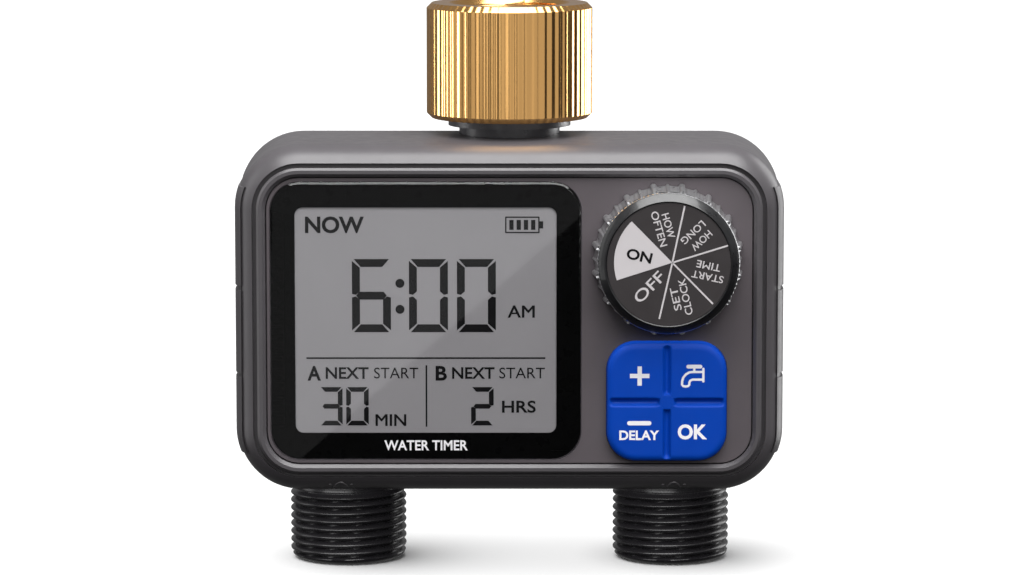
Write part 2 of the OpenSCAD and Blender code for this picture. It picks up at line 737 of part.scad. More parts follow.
module bonnets() color([0.16, 0.16, 0.17])
    for (x = outlet_xs) difference() {
        union() {
            rod_y(chamber_r, bonnet_y, seat_y + 5.6, [x, valve_z]);
            for (e = ear_at) rod_y(3, bonnet_y, seat_y + 4, [x + e[0], valve_z + e[1]]);
        }
        rod_y(10.5, bonnet_y - 1, seat_y + 4.1, [x, valve_z]);
        rod_y(plunger_r + 0.05, seat_y, seat_y + 7, [x, valve_z]);
        for (e = ear_at) {
            rod_y(1.1, seat_y, seat_y + 7, [x + e[0], valve_z + e[1]]);
            rod_y(2.1, seat_y + 4, seat_y + 7, [x + e[0], valve_z + e[1]]);
        }
    }

module bonnet_screws() color("silver")
    for (x = outlet_xs, e = ear_at)
        screw_y(0.9, 1.9, 1.3, seat_y - 4, seat_y + 4, [x + e[0], valve_z + e[1]]);

module solenoid(x) color([0.55, 0.56, 0.58]) difference() {
    rod_y(can_r, can_y, can_end, [x, valve_z]);
    rod_y(plunger_r + 0.05, can_y - 1, can_end - 2, [x, valve_z]);
}
module solenoid_a() solenoid(outlet_xs[0]);
module solenoid_b() solenoid(outlet_xs[1]);

module plunger(x) color("silver") rod_y(plunger_r, plunger_y, plunger_end, [x, valve_z]);
module plunger_a() plunger(outlet_xs[0]);
module plunger_b() plunger(outlet_xs[1]);

module plunger_spring(x) color("silver")
    translate([x, plunger_end, valve_z]) rotate([-90, 0, 0])
        coil_spring(2.2, 0.25, can_end - 2 - plunger_end, 4);
module plunger_spring_a() plunger_spring(outlet_xs[0]);
module plunger_spring_b() plunger_spring(outlet_xs[1]);

// ---------------------------------------------------------------- wiring

lead_r = 0.65;
lead_end = y_board + board_t + 0.05;

// Two wires from each solenoid's side to the back of the circuit board
module solenoid_leads() {
    side = outlet_xs[1] + can_r;
    for (sx = [-1, 1], k = [0, 1]) color(k == 0 ? "firebrick" : "black") {
        z = valve_z + 2 - 4 * k;
        wire(smooth_path([[sx * side, 26, z], [sx * (side + 2), 26, z], [sx * 51.5, 24, z],
            [sx * 54.5, 17, z], [sx * 55, 4, z], [sx * 54, -5, z], [sx * 52.2, -8.6, z],
            [sx * 52, lead_end, z]], 3), lead_r, sides = 6);
    }
}

// Two wires from the battery bay to the back of the circuit board
module battery_leads() {
    side = bay_w / 2 + bay_wall + 0.1;
    for (k = [0, 1]) color(k == 0 ? "firebrick" : "black") {
        z = bay_at[1] + 13.2 - 2 * k;
        wire(smooth_path([[side, 20, z], [side + 1, 20, z], [side + 2, 18.5, z],
            [side + 2, 10, z], [side + 1, 0, z], [28.2, -7, z], [28, lead_end, z]], 3),
            lead_r, sides = 6);
    }
}

// ---------------------------------------------------------------- battery bay

// +1 or -1: the way each cell's nub points along X
cell_way = [1, -1];

module battery_cells() color([0.2, 0.5, 0.3])
    for (i = [0, 1]) mirror([cell_way[i] < 0 ? 1 : 0, 0, 0]) {
        rod_x(cell_d / 2, -24, -24 + cell_l, [cell_y, cell_zs[i]]);
        rod_x(2.75, -24 + cell_l - 0.5, -24 + cell_l + 1.2, [cell_y, cell_zs[i]]);
    }

module battery_springs() color("silver")
    for (i = [0, 1]) mirror([cell_way[i] < 0 ? 1 : 0, 0, 0])
        translate([-bay_w / 2 + 0.4, cell_y, cell_zs[i]]) rotate([0, 90, 0])
            coil_spring(3.6, 0.4, bay_w / 2 - 24.4, 3);

module battery_contacts() color("silver")
    for (i = [0, 1]) mirror([cell_way[i] < 0 ? 1 : 0, 0, 0]) {
        block([-bay_w / 2, cell_y - 5, cell_zs[i] - 5], [-bay_w / 2 + 0.4, cell_y + 5, cell_zs[i] + 5]);
        block([bay_w / 2 - 0.5, cell_y - 5, cell_zs[i] - 5], [bay_w / 2, cell_y + 5, cell_zs[i] + 5]);
    }

module battery_door() color([0.27, 0.26, 0.27]) difference() {
    union() {
        slab(door_w, door_h - 0.2, 0.8, y_back - door_t, y_back, [0, door_z + door_h / 2]);
        rod_x(barrel_r, -door_w / 2, door_w / 2, [hinge_y, hinge_z]);
    }
    for (i = [0:3])
        block([-12, y_back - 0.5, door_z + 4 + 1.8 * i], [12, y_back + 1, door_z + 4.9 + 1.8 * i]);
    for (sx = [-1, 1])
        rod_x(pin_r + 0.05, sx > 0 ? door_w / 2 - 4.5 : -door_w / 2 - 1,
            sx > 0 ? door_w / 2 + 1 : -door_w / 2 + 4.5, [hinge_y, hinge_z]);
}

module door_gasket() color([0.1, 0.1, 0.1]) difference() {
    slab(61, 36, 3, bay_end - 1, bay_end, bay_at);
    slab(58, 33, 1.5, bay_end - 2, bay_end + 1, bay_at);
}

module door_pins() color("silver")
    for (sx = [-1, 1]) mirror([sx < 0 ? 1 : 0, 0, 0])
        rod_x(pin_r, door_w / 2 - 4.2, door_w / 2 + 4, [hinge_y, hinge_z]);

// ---------------------------------------------------------------- nodes

front_housing();
rear_housing();
case_gasket();
case_screws();
fascia_plate();
display_lens();
lens_border();
lcd_glass();
lcd_frame();
lcd_connectors();
circuit_board();
board_screws();
key_switches();
rotary_switch();
dial_knob();
dial_label();
dial_shaft();
dial_seal();
keypad_mat();
key_plus();
key_tap();
key_minus();
key_ok();
inlet_nut();
swivel_stem();
inlet_washer();
inlet_filter();
inlet_neck();
neck_seal();
valve_manifold();
outlet_a();
outlet_b();
outlet_seals();
diaphragm_a();
diaphragm_b();
valve_disc_a();
valve_disc_b();
bonnets();
bonnet_screws();
solenoid_a();
solenoid_b();
plunger_a();
plunger_b();
plunger_spring_a();
plunger_spring_b();
solenoid_leads();
battery_leads();
battery_cells();
battery_springs();
battery_contacts();
battery_door();
door_gasket();
door_pins();
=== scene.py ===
import math

import bmesh
import bpy
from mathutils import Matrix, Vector
from mathutils.bvhtree import BVHTree


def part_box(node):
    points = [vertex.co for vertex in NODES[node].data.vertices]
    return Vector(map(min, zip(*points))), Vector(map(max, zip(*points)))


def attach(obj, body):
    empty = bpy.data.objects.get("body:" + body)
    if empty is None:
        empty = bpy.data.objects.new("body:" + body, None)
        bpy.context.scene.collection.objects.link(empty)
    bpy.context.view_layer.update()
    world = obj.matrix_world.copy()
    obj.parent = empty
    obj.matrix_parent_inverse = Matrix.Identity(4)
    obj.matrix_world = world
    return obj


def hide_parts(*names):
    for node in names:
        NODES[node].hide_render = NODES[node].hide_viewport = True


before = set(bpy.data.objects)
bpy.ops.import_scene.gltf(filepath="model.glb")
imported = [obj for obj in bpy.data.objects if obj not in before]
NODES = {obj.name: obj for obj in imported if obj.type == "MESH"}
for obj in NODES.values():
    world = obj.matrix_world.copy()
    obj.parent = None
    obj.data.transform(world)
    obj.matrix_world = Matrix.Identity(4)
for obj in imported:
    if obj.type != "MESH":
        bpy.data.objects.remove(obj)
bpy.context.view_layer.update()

MM = 0.001
SCENE = bpy.context.scene
TAU = 2 * math.pi


# ---- camera, floor and light

LOOK_AT = Vector((0.57, 5.0, 61.8)) * MM
CAMERA_DISTANCE = 1.0
CAMERA_ELEVATION = math.radians(7.5)


def make_camera():
    data = bpy.data.cameras.new("camera")
    data.sensor_width = 36.0
    data.lens = 154.8
    data.clip_start = 0.01
    data.clip_end = 50.0
    camera = added("camera", data)
    back = Vector((0, -math.cos(CAMERA_ELEVATION), math.sin(CAMERA_ELEVATION)))
    camera.location = LOOK_AT + back * CAMERA_DISTANCE
    camera.rotation_euler = (math.pi / 2 - CAMERA_ELEVATION, 0, 0)
    SCENE.camera = camera


def middle(node):
    """The middle of a node's box, as (x, y, z)."""
    return [(a + b) / 2 for a, b in zip(*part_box(node))]


def added(name, data):
    """A new object in the scene."""
    thing = bpy.data.objects.new(name, data)
    SCENE.collection.objects.link(thing)
    return thing


def only(*objects):
    """A collection that names which objects a light reaches or is blocked by."""
    group = bpy.data.collections.new("light_group")
    for thing in objects:
        group.objects.link(thing)
    return group


def make_sheet(name, corners, material, z=0.0):
    """A flat sheet of the studio, not of the object, that sheds no light on other things."""
    mesh = bpy.data.meshes.new(name)
    mesh.from_pydata(corners, [], [(0, 1, 2, 3)])
    mesh.materials.append(material)
    sheet = added(name, mesh)
    sheet.location.z = z
    sheet.visible_diffuse = False
    return sheet


def make_floor():
    size = 12.0
    material, _, _, shader = blank_material("floor_white")
    put(shader, {"Base Color": (0.93, 0.93, 0.93, 1), "Roughness": 0.9, "Specular IOR Level": 0.1})
    corners = [(-size, -size, 0), (size, -size, 0), (size, size, 0), (-size, size, 0)]
    floor = make_sheet("floor", corners, material, -0.02 * MM)
    floor.visible_glossy = False
    return floor


def make_flag():
    """What the window mirrors from low in front: a paler area that ends on a slant."""
    corners = [(-0.6, -1.5, 0.002), (0.143, -1.5, 0.002), (-0.0695, -0.062, 0.002),
               (-0.6, -0.062, 0.002)]
    material, nodes, links, shader = blank_material("pale_flag")
    nodes.remove(shader)
    glow = nodes.new("ShaderNodeEmission")
    put(glow, {"Strength": 0.27})
    links.new(glow.outputs[0], nodes["Material Output"].inputs["Surface"])
    flag = make_sheet("pale_flag", corners, material)
    flag.visible_camera = False
    flag.visible_shadow = False
    flag.visible_transmission = False


def make_world():
    """White where it is seen. As light: dim above, dark below in front, paler below behind."""
    world = bpy.data.worlds.new("studio")
    SCENE.world = world
    world.use_nodes = True
    nodes, links = world.node_tree.nodes, world.node_tree.links
    nodes.clear()
    rays = nodes.new("ShaderNodeLightPath").outputs
    shades = []
    for strength in (0.5, 0.28, 0.015, 0.2, 1.0):
        shade = nodes.new("ShaderNodeBackground")
        put(shade, {"Color": (1, 1, 1, 1), "Strength": strength})
        shades.append(shade.outputs[0])
    diffuse, glossy, below_front, below_back, seen = shades
    way = xyz(nodes, links, "Generated")

    def between(axis, start, end):
        ranged = nodes.new("ShaderNodeMapRange")
        put(ranged, {"From Min": start, "From Max": end})
        links.new(way[axis], ranged.inputs["Value"])
        return ranged.outputs["Result"]

    above = mixed(nodes, links, rays["Is Glossy Ray"], diffuse, glossy)
    below = mixed(nodes, links, between("Y", 0.0, 0.9), below_front, below_back)
    light = mixed(nodes, links, between("Z", -0.05, 0.1), below, above)
    out = nodes.new("ShaderNodeOutputWorld")
    links.new(mixed(nodes, links, rays["Is Camera Ray"], light, seen), out.inputs["Surface"])


def panel(name, place, target, size, glow, receivers, blockers=()):
    """A soft light of that brightness (radiance), reaching only the receivers."""
    data = bpy.data.lights.new(name, "AREA")
    data.shape = "RECTANGLE"
    data.size, data.size_y = size
    data.energy = glow * math.pi * size[0] * size[1]
    light = added(name, data)
    light.location = place
    aim = Vector(target) - Vector(place)
    light.rotation_euler = aim.to_track_quat("-Z", "Y").to_euler()
    light.visible_camera = False
    light.light_linking.receiver_collection = only(*receivers)
    if blockers:
        light.light_linking.blocker_collection = only(*blockers)


def make_studio(floor):
    body_place, nut_place, low_place = (0, 0.005, 0.06), (0, 0.005, 0.11), (0, 0, 0.015)
    pieces = [thing for thing in SCENE.objects if thing.type == "MESH" and thing != floor]
    outlets = [thing for thing in pieces if thing.name.startswith("outlet_threaded")]
    pads = [thing for thing in pieces if thing.name.startswith("pad_")]
    fittings = [thing for thing in pieces
                if thing.name.startswith("nut_") or thing == NODES["inlet_neck"]]
    others = [thing for thing in pieces if thing not in fittings]
    not_pads = [thing for thing in pieces if thing not in pads]
    overhead, overhead_size = (0.05, -0.28, 0.8), (0.9, 0.78)
    panel("top_softbox", overhead, body_place, overhead_size, 7.3, not_pads)
    panel("pad_top", overhead, body_place, overhead_size, 5.6, pads, pads)
    panel("front_fill", (0.25, -1.1, 0.52), body_place, (1.3, 0.5), 2.6, others)
    panel("left_side", (-0.7, 0.05, 0.16), body_place, (0.3, 0.8), 1.4, others)
    panel("right_side", (0.62, 0.43, 0.2), body_place, (0.45, 0.8), 2.8, others)
    panel("outlet_top", (-0.3, -0.7, 0.5), low_place, (1.1, 1.3), 4.6, outlets, outlets)
    panel("nut_left", (-0.68, 0.06, 0.05), nut_place, (0.2, 0.6), 8.0, fittings)
    panel("nut_right", (0.62, 0.43, 0.05), nut_place, (0.36, 0.6), 8.0, fittings)
    panel("nut_front", (0.45, -0.72, 0.0), nut_place, (1.1, 0.4), 0.62, fittings)
    panel("nut_middle", (-0.3, -0.74, 0.0), nut_place, (0.22, 0.4), 1.2, fittings)
    panel("nut_front_left", (-0.65, -0.3, 0.02), nut_place, (0.4, 0.4), 0.6, fittings)
    panel("nut_front_dim", (-0.34, -0.94, -0.02), nut_place, (1.4, 0.5), 0.15, fittings)
    sun = bpy.data.lights.new("floor_sun", "SUN")
    sun.energy = 3.1
    sun.angle = math.radians(72)
    floor_light = added("floor_sun", sun)
    floor_light.rotation_euler = (math.radians(4), math.radians(-17), 0)
    floor_light.light_linking.receiver_collection = only(floor)
    floor_light.light_linking.blocker_collection = only(*outlets)
    make_flag()


# ---- materials

def blank_material(name):
    material = bpy.data.materials.new(name)
    material.use_nodes = True
    nodes, links = material.node_tree.nodes, material.node_tree.links
    shader = nodes["Principled BSDF"]
    return material, nodes, links, shader


def put(node, values):
    """Set a node's inputs by name."""
    for name, value in values.items():
        node.inputs[name].default_value = value


def xyz(nodes, links, kind="Object"):
    """The three parts of a texture coordinate."""
    coords = nodes.new("ShaderNodeTexCoord")
    parts = nodes.new("ShaderNodeSeparateXYZ")
    links.new(coords.outputs[kind], parts.inputs[0])
    return parts.outputs


def feed(links, sockets, values):
    """Give each socket its value: a number, or another node's output."""
    for socket, value in zip(sockets, values):
        if isinstance(value, (int, float)):
            socket.default_value = value
        else:
            links.new(value, socket)


def calc(nodes, links, kind, *values):
    node = nodes.new("ShaderNodeMath")
    node.operation = kind
    feed(links, node.inputs, values)
    return node.outputs[0]


def mixed(nodes, links, share, first, second):
    """The first shader, with that share of the second."""
    mix = nodes.new("ShaderNodeMixShader")
    feed(links, mix.inputs, (share, first, second))
    return mix.outputs[0]


def emboss(nodes, links, shader, height, strength, depth):
    relief = nodes.new("ShaderNodeBump")
    put(relief, {"Strength": strength, "Distance": depth})
    links.new(height, relief.inputs["Height"])
    links.new(relief.outputs["Normal"], shader.inputs["Normal"])


def noise(nodes, links, scale, detail=3.0, stretch=(1, 1, 1)):
    """Noise in the row's own metres, so the grain keeps its real size on every piece."""
    coords = nodes.new("ShaderNodeTexCoord")
    mapping = nodes.new("ShaderNodeMapping")
    put(mapping, {"Scale": stretch})
    texture = nodes.new("ShaderNodeTexNoise")
    put(texture, {"Scale": scale, "Detail": detail})
    links.new(coords.outputs["Object"], mapping.inputs["Vector"])
    links.new(mapping.outputs["Vector"], texture.inputs["Vector"])
    return texture.outputs["Fac"]


def spread(nodes, links, value, low, high):
    ranged = nodes.new("ShaderNodeMapRange")
    put(ranged, {"From Min": 0.3, "From Max": 0.7, "To Min": low, "To Max": high})
    links.new(value, ranged.inputs["Value"])
    return ranged.outputs["Result"]


def tinted(nodes, links, value, colour, change):
    """The colour, a little darker or lighter as the value goes from 0 to 1."""
    ramp = nodes.new("ShaderNodeValToRGB")
    dark = [c * (1 - change) for c in colour]
    pale = [min(c * (1 + change), 1) for c in colour]
    ramp.color_ramp.elements[0].position = 0.3
    ramp.color_ramp.elements[1].position = 0.7
    ramp.color_ramp.elements[0].color = (*dark, 1)
    ramp.color_ramp.elements[1].color = (*pale, 1)
    links.new(value, ramp.inputs["Fac"])
    return ramp.outputs["Color"]


def finish(name, colour, rough, metallic=0.0, grain=9000, bump=0.15, vary=0.06,
           cloud=120, rough_vary=0.06, stretch=(1, 1, 1), coat=0.0, specular=0.5):
    """A moulded or machined surface: soft clouding in colour and gloss, and a fine grain."""
    material, nodes, links, shader = blank_material(name)
    clouds = noise(nodes, links, cloud, 4.0, stretch)
    links.new(tinted(nodes, links, clouds, colour, vary), shader.inputs["Base Color"])
    wear = noise(nodes, links, cloud * 3.3, 5.0, stretch)
    links.new(spread(nodes, links, wear, rough - rough_vary, rough + rough_vary),
              shader.inputs["Roughness"])
    emboss(nodes, links, shader, noise(nodes, links, grain, 2.0, stretch), bump, 0.02 * MM)
    put(shader, {"Metallic": metallic, "Coat Weight": coat, "Coat Roughness": 0.08,
                 "Specular IOR Level": specular})
    return material


def clear_window(name):
    """A clear window: light passes straight through, and its face reflects by angle."""
    material, nodes, links, shader = blank_material(name)
    nodes.remove(shader)
    out = nodes["Material Output"]
    through = nodes.new("ShaderNodeBsdfTransparent")
    put(through, {"Color": (0.96, 0.965, 0.97, 1)})
    gloss = nodes.new("ShaderNodeBsdfGlossy")
    smear = noise(nodes, links, 60, 3.0)
    links.new(spread(nodes, links, smear, 0.0, 0.02), gloss.inputs["Roughness"])
    tilt = nodes.new("ShaderNodeLayerWeight")
    share = nodes.new("ShaderNodeMapRange")
    put(share, {"To Min": 0.04})
    links.new(calc(nodes, links, "POWER", tilt.outputs["Facing"], 5), share.inputs["Value"])
    window = mixed(nodes, links, share.outputs["Result"], through.outputs[0], gloss.outputs[0])
    links.new(window, out.inputs["Surface"])
    return material


def lcd_surface(name, colour, mirror):
    """A reflective display: grey, with a steady share of sharp reflection."""
    material, nodes, links, shader = blank_material(name)
    clouds = noise(nodes, links, 30, 3.0)
    links.new(tinted(nodes, links, clouds, colour, 0.02), shader.inputs["Base Color"])
    links.new(spread(nodes, links, clouds, 0.5, 0.6), shader.inputs["Roughness"])
    put(shader, {"Specular IOR Level": 0.1})
    gloss = nodes.new("ShaderNodeBsdfGlossy")
    put(gloss, {"Roughness": 0.03})
    glass = mixed(nodes, links, mirror, shader.outputs[0], gloss.outputs[0])
    links.new(glass, nodes["Material Output"].inputs["Surface"])
    return material


def knurled_gloss(name, colour, centre, bars):
    """Silver metal with fine bars round the dial's wall and across them; a black gloss rim."""
    material, nodes, links, shader = blank_material(name)
    x, y, z = xyz(nodes, links)
    x = calc(nodes, links, "SUBTRACT", x, centre[0])
    z = calc(nodes, links, "SUBTRACT", z, centre[1])
    bar_pitch, cross_share, rim_edge = 1.1 * MM, 0.7, 15.45 * MM
    angle = calc(nodes, links, "ARCTAN2", z, x)
    along = calc(nodes, links, "MULTIPLY", angle, bars)
    across = calc(nodes, links, "MULTIPLY", y, TAU / bar_pitch)
    cross_bars = calc(nodes, links, "MULTIPLY", calc(nodes, links, "SINE", across), cross_share)
    pattern = calc(nodes, links, "ADD", calc(nodes, links, "SINE", along), cross_bars)
    squares = [calc(nodes, links, "POWER", value, 2) for value in (z, x)]
    radius = calc(nodes, links, "SQRT", calc(nodes, links, "ADD", *squares))
    on_wall = calc(nodes, links, "GREATER_THAN", radius, rim_edge)
    emboss(nodes, links, shader, calc(nodes, links, "MULTIPLY", pattern, on_wall), 0.8,
           0.08 * MM)
    clouds = noise(nodes, links, 700, 3.0)
    rim = nodes.new("ShaderNodeMix")
    rim.data_type = "RGBA"
    links.new(on_wall, rim.inputs[0])
    links.new(tinted(nodes, links, clouds, (0.006, 0.006, 0.007), 0.1), rim.inputs[6])
    links.new(tinted(nodes, links, clouds, colour, 0.12), rim.inputs[7])
    links.new(rim.outputs[2], shader.inputs["Base Color"])
    links.new(spread(nodes, links, clouds, 0.26, 0.38), shader.inputs["Roughness"])
    links.new(calc(nodes, links, "MULTIPLY", on_wall, 0.8), shader.inputs["Metallic"])
    put(shader, {"Coat Weight": 0.35, "Coat Roughness": 0.06})
    return material


def lead_material(name):
    """Insulated wire: red for the upper wire of a pair, black for the lower."""
    material, nodes, links, shader = blank_material(name)
    height = xyz(nodes, links)["Z"]
    battery_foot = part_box("battery_leads")[0][2] - MM
    split = nodes.new("ShaderNodeMix")
    split.data_type = "FLOAT"
    split.inputs[2].default_value = middle("solenoid_leads")[2]
    split.inputs[3].default_value = middle("battery_leads")[2]
    links.new(calc(nodes, links, "GREATER_THAN", height, battery_foot), split.inputs[0])
    upper = calc(nodes, links, "GREATER_THAN", height, split.outputs[0])
    colours = nodes.new("ShaderNodeMix")
    colours.data_type = "RGBA"
    colours.inputs[6].default_value = (0.012, 0.012, 0.012, 1)
    colours.inputs[7].default_value = (0.45, 0.01, 0.01, 1)
    links.new(upper, colours.inputs[0])
    links.new(colours.outputs[2], shader.inputs["Base Color"])
    smear = noise(nodes, links, 2500, 3.0)
    links.new(spread(nodes, links, smear, 0.35, 0.5), shader.inputs["Roughness"])
    return material


def board_material(name):
    """Solder mask with faint copper tracks under it."""
    material, nodes, links, shader = blank_material(name)
    coords = nodes.new("ShaderNodeTexCoord")
    tracks = nodes.new("ShaderNodeTexBrick")
    put(tracks, {"Scale": 160, "Mortar Size": 0.035, "Color1": (0.008, 0.09, 0.03, 1),
                 "Color2": (0.012, 0.11, 0.04, 1), "Mortar": (0.03, 0.2, 0.07, 1)})
    turn = nodes.new("ShaderNodeMapping")
    put(turn, {"Rotation": (math.pi / 2, 0, 0)})
    links.new(coords.outputs["Object"], turn.inputs["Vector"])
    links.new(turn.outputs["Vector"], tracks.inputs["Vector"])
    links.new(tracks.outputs["Color"], shader.inputs["Base Color"])
    smear = noise(nodes, links, 400, 3.0)
    links.new(spread(nodes, links, smear, 0.25, 0.4), shader.inputs["Roughness"])
    return material


def mesh_weave(name):
    """Fine woven stainless mesh."""
    material, nodes, links, shader = blank_material(name)
    coords = nodes.new("ShaderNodeTexCoord")
    waves = []
    for direction in "XY":
        wave = nodes.new("ShaderNodeTexWave")
        wave.bands_direction = direction
        put(wave, {"Scale": 520})
        links.new(coords.outputs["Object"], wave.inputs["Vector"])
        waves.append(wave.outputs["Fac"])
    both = calc(nodes, links, "MAXIMUM", *waves)
    links.new(tinted(nodes, links, both, (0.42, 0.42, 0.44), 0.75), shader.inputs["Base Color"])
    emboss(nodes, links, shader, both, 0.8, 0.1 * MM)
    put(shader, {"Metallic": 0.9, "Roughness": 0.38})
    return material


# ---- mesh helpers

def add_piece(name, verts, faces, material, body, crease=35.0):
    mesh = bpy.data.meshes.new(name)
    mesh.from_pydata([tuple(v) for v in verts], [], faces)
    mesh.validate()
    mesh.update()
    work = bmesh.new()
    work.from_mesh(mesh)
    bmesh.ops.recalc_face_normals(work, faces=work.faces)
    work.to_mesh(mesh)
    work.free()
    mesh.shade_smooth()
    mesh.set_sharp_from_angle(angle=math.radians(crease))
    mesh.materials.append(material)
    piece = added(name, mesh)
    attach(piece, body)
    return piece


def revolved(rows, columns, point):
    """Verts and faces of a surface closed round both its profile and its axis."""
    verts = [point(i, TAU * j / columns) for i in range(rows) for j in range(columns)]
    faces = []
    for i in range(rows):
        below, above = i * columns, (i + 1) % rows * columns
        for j in range(columns):
            k = (j + 1) % columns
            faces.append((below + j, below + k, above + k, above + j))
    return verts, faces


def band(count, loops):
    """Faces of the open tube through that many loops of count points."""
    faces = []
    for i in range(loops - 1):
        for j in range(count):
            k = (j + 1) % count
            faces.append((i * count + j, i * count + k, (i + 1) * count + k, (i + 1) * count + j))
    return faces


def capped(verts, count):
    """The verts, with the faces of a tube through them and its two flat ends."""
    faces = band(count, len(verts) // count)
    faces.append(tuple(range(count)))
    faces.append(tuple(range(len(verts) - 1, len(verts) - count - 1, -1)))
    return verts, faces


def about_z(centre, radius, angle, z):
    return (centre[0] + radius * math.cos(angle), centre[1] + radius * math.sin(angle), z)


def about_y(centre, radius, angle, y):
    return (centre[0] + radius * math.cos(angle), y, centre[1] + radius * math.sin(angle))


def steps(start, end, count):
    return [start + (end - start) * i / count for i in range(count + 1)]


def thread_wave(z, angle, pitch, shape=0.8):
    """0 at the root and 1 at the crest of a right-hand thread."""
    turn = z / pitch - angle / TAU
    return (0.5 + 0.5 * math.cos(TAU * turn)) ** shape


# ---- inlet nut

def make_inlet_nut(material):
    low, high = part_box("inlet_nut")
    centre = middle("inlet_nut")
    z0, z1 = low[2], high[2]
    outer = (high[0] - low[0]) / 2
    flutes, flute_depth, chamfer = 60, 0.15 * MM, 1.15 * MM
    bore, thread_depth, pitch = 12.1 * MM, 1.1 * MM, 1.814 * MM
    lip_z, relief_z, relief_r = z0 + 5.6 * MM, z0 + 11.3 * MM, 12.9 * MM
    lip_r, lip_chamfer = 9.4 * MM, 0.4 * MM
    levels = steps(z0, z0 + chamfer, 6) + steps(z0 + 2 * chamfer, z1 - 2 * chamfer, 4)
    profile = [("outer", z) for z in levels + steps(z1 - chamfer, z1, 6)]
    profile += [("face", z1, outer - chamfer - 1.2 * MM),
                ("face", z1, bore + thread_depth + 0.5 * MM)]
    profile += [("thread", z) for z in steps(z1 - 0.9 * MM, relief_z, 44)]
    profile += [("face", relief_z - 0.3 * MM, relief_r), ("face", lip_z, relief_r),
                ("face", lip_z, lip_r), ("face", z0 + lip_chamfer, lip_r),
                ("face", z0, lip_r + lip_chamfer), ("face", z0, outer - chamfer - 1.5 * MM)]

    def point(i, angle):
        kind, z = profile[i][:2]
        if kind == "outer":
            ridge = (0.5 + 0.5 * math.cos(flutes * angle)) ** 0.85
            cone = outer - chamfer + min(z - z0, z1 - z) + 0.02 * MM
            return about_z(centre, min(outer, cone) - flute_depth * (1 - ridge), angle, z)
        if kind == "thread":
            fade = min((z1 - z) / (2 * MM), 1)
            radius = bore + thread_depth * max(thread_wave(z, angle, pitch), 1 - fade)
            return about_z(centre, radius, angle, z)
        return about_z(centre, profile[i][2], angle, z)

    verts, faces = revolved(len(profile), flutes * 10, point)
    piece = add_piece("nut_fluted", verts, faces, material, "inlet_nut_body", 32)
    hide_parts("inlet_nut")


# ---- outlets

def make_outlet(name, node, material):
    low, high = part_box(node)
    centre = middle(node)
    root, crest, bore = 12.06 * MM, 13.2 * MM, 9.2 * MM
    flange, spigot, pitch = (high[0] - low[0]) / 2, 10.6 * MM, 1.814 * MM
    flange_under, first_crest = 21.7 * MM, 3.2 * MM
    thread_low, run_out, thread_high = 0.9 * MM, 15.0 * MM, 17.0 * MM
    end_r, end_height = 11.5 * MM, 3.0 * MM
    profile = [("plain", 0.7 * MM, bore), ("plain", 0.15 * MM, bore + 0.4 * MM),
               ("plain", 0.0, bore + 0.9 * MM), ("plain", 0.0, end_r - 0.5 * MM),
               ("plain", 0.12 * MM, end_r - 0.1 * MM), ("plain", 0.4 * MM, end_r + 0.35 * MM)]
    profile += [("thread", z) for z in steps(thread_low, thread_high, 124)]
    profile += [("plain", flange_under, root), ("plain", flange_under, flange),
                ("plain", flange_under + 2 * MM, flange), ("plain", flange_under + 2 * MM, spigot),
                ("plain", high[2], spigot), ("plain", high[2], bore)]

    def point(i, angle):
        kind, z = profile[i][:2]
        if kind == "plain":
            return about_z(centre, profile[i][2], angle, z)
        below = max(1 - z / end_height, 0)
        rounded = end_r + (crest - end_r) * math.sqrt(max(1 - below ** 2, 0))
        end = 1 - smooth_step(z, run_out, thread_high)
        wave = thread_wave(z - first_crest, angle, pitch, 0.55)
        return about_z(centre, min(root + (crest - root) * wave * end, rounded), angle, z)

    verts, faces = revolved(len(profile), 128, point)
    piece = add_piece(name, verts, faces, material, "case", 60)
    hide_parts(node)


# ---- dial

DIAL_ON = (134.4, 197.8)
DIAL_LINES = (78.0, 17.2, -45.5, -102.7)


def facing(node):
    """The middle of a node seen from the front, as (x, z)."""
    x, _, z = middle(node)
    return x, z


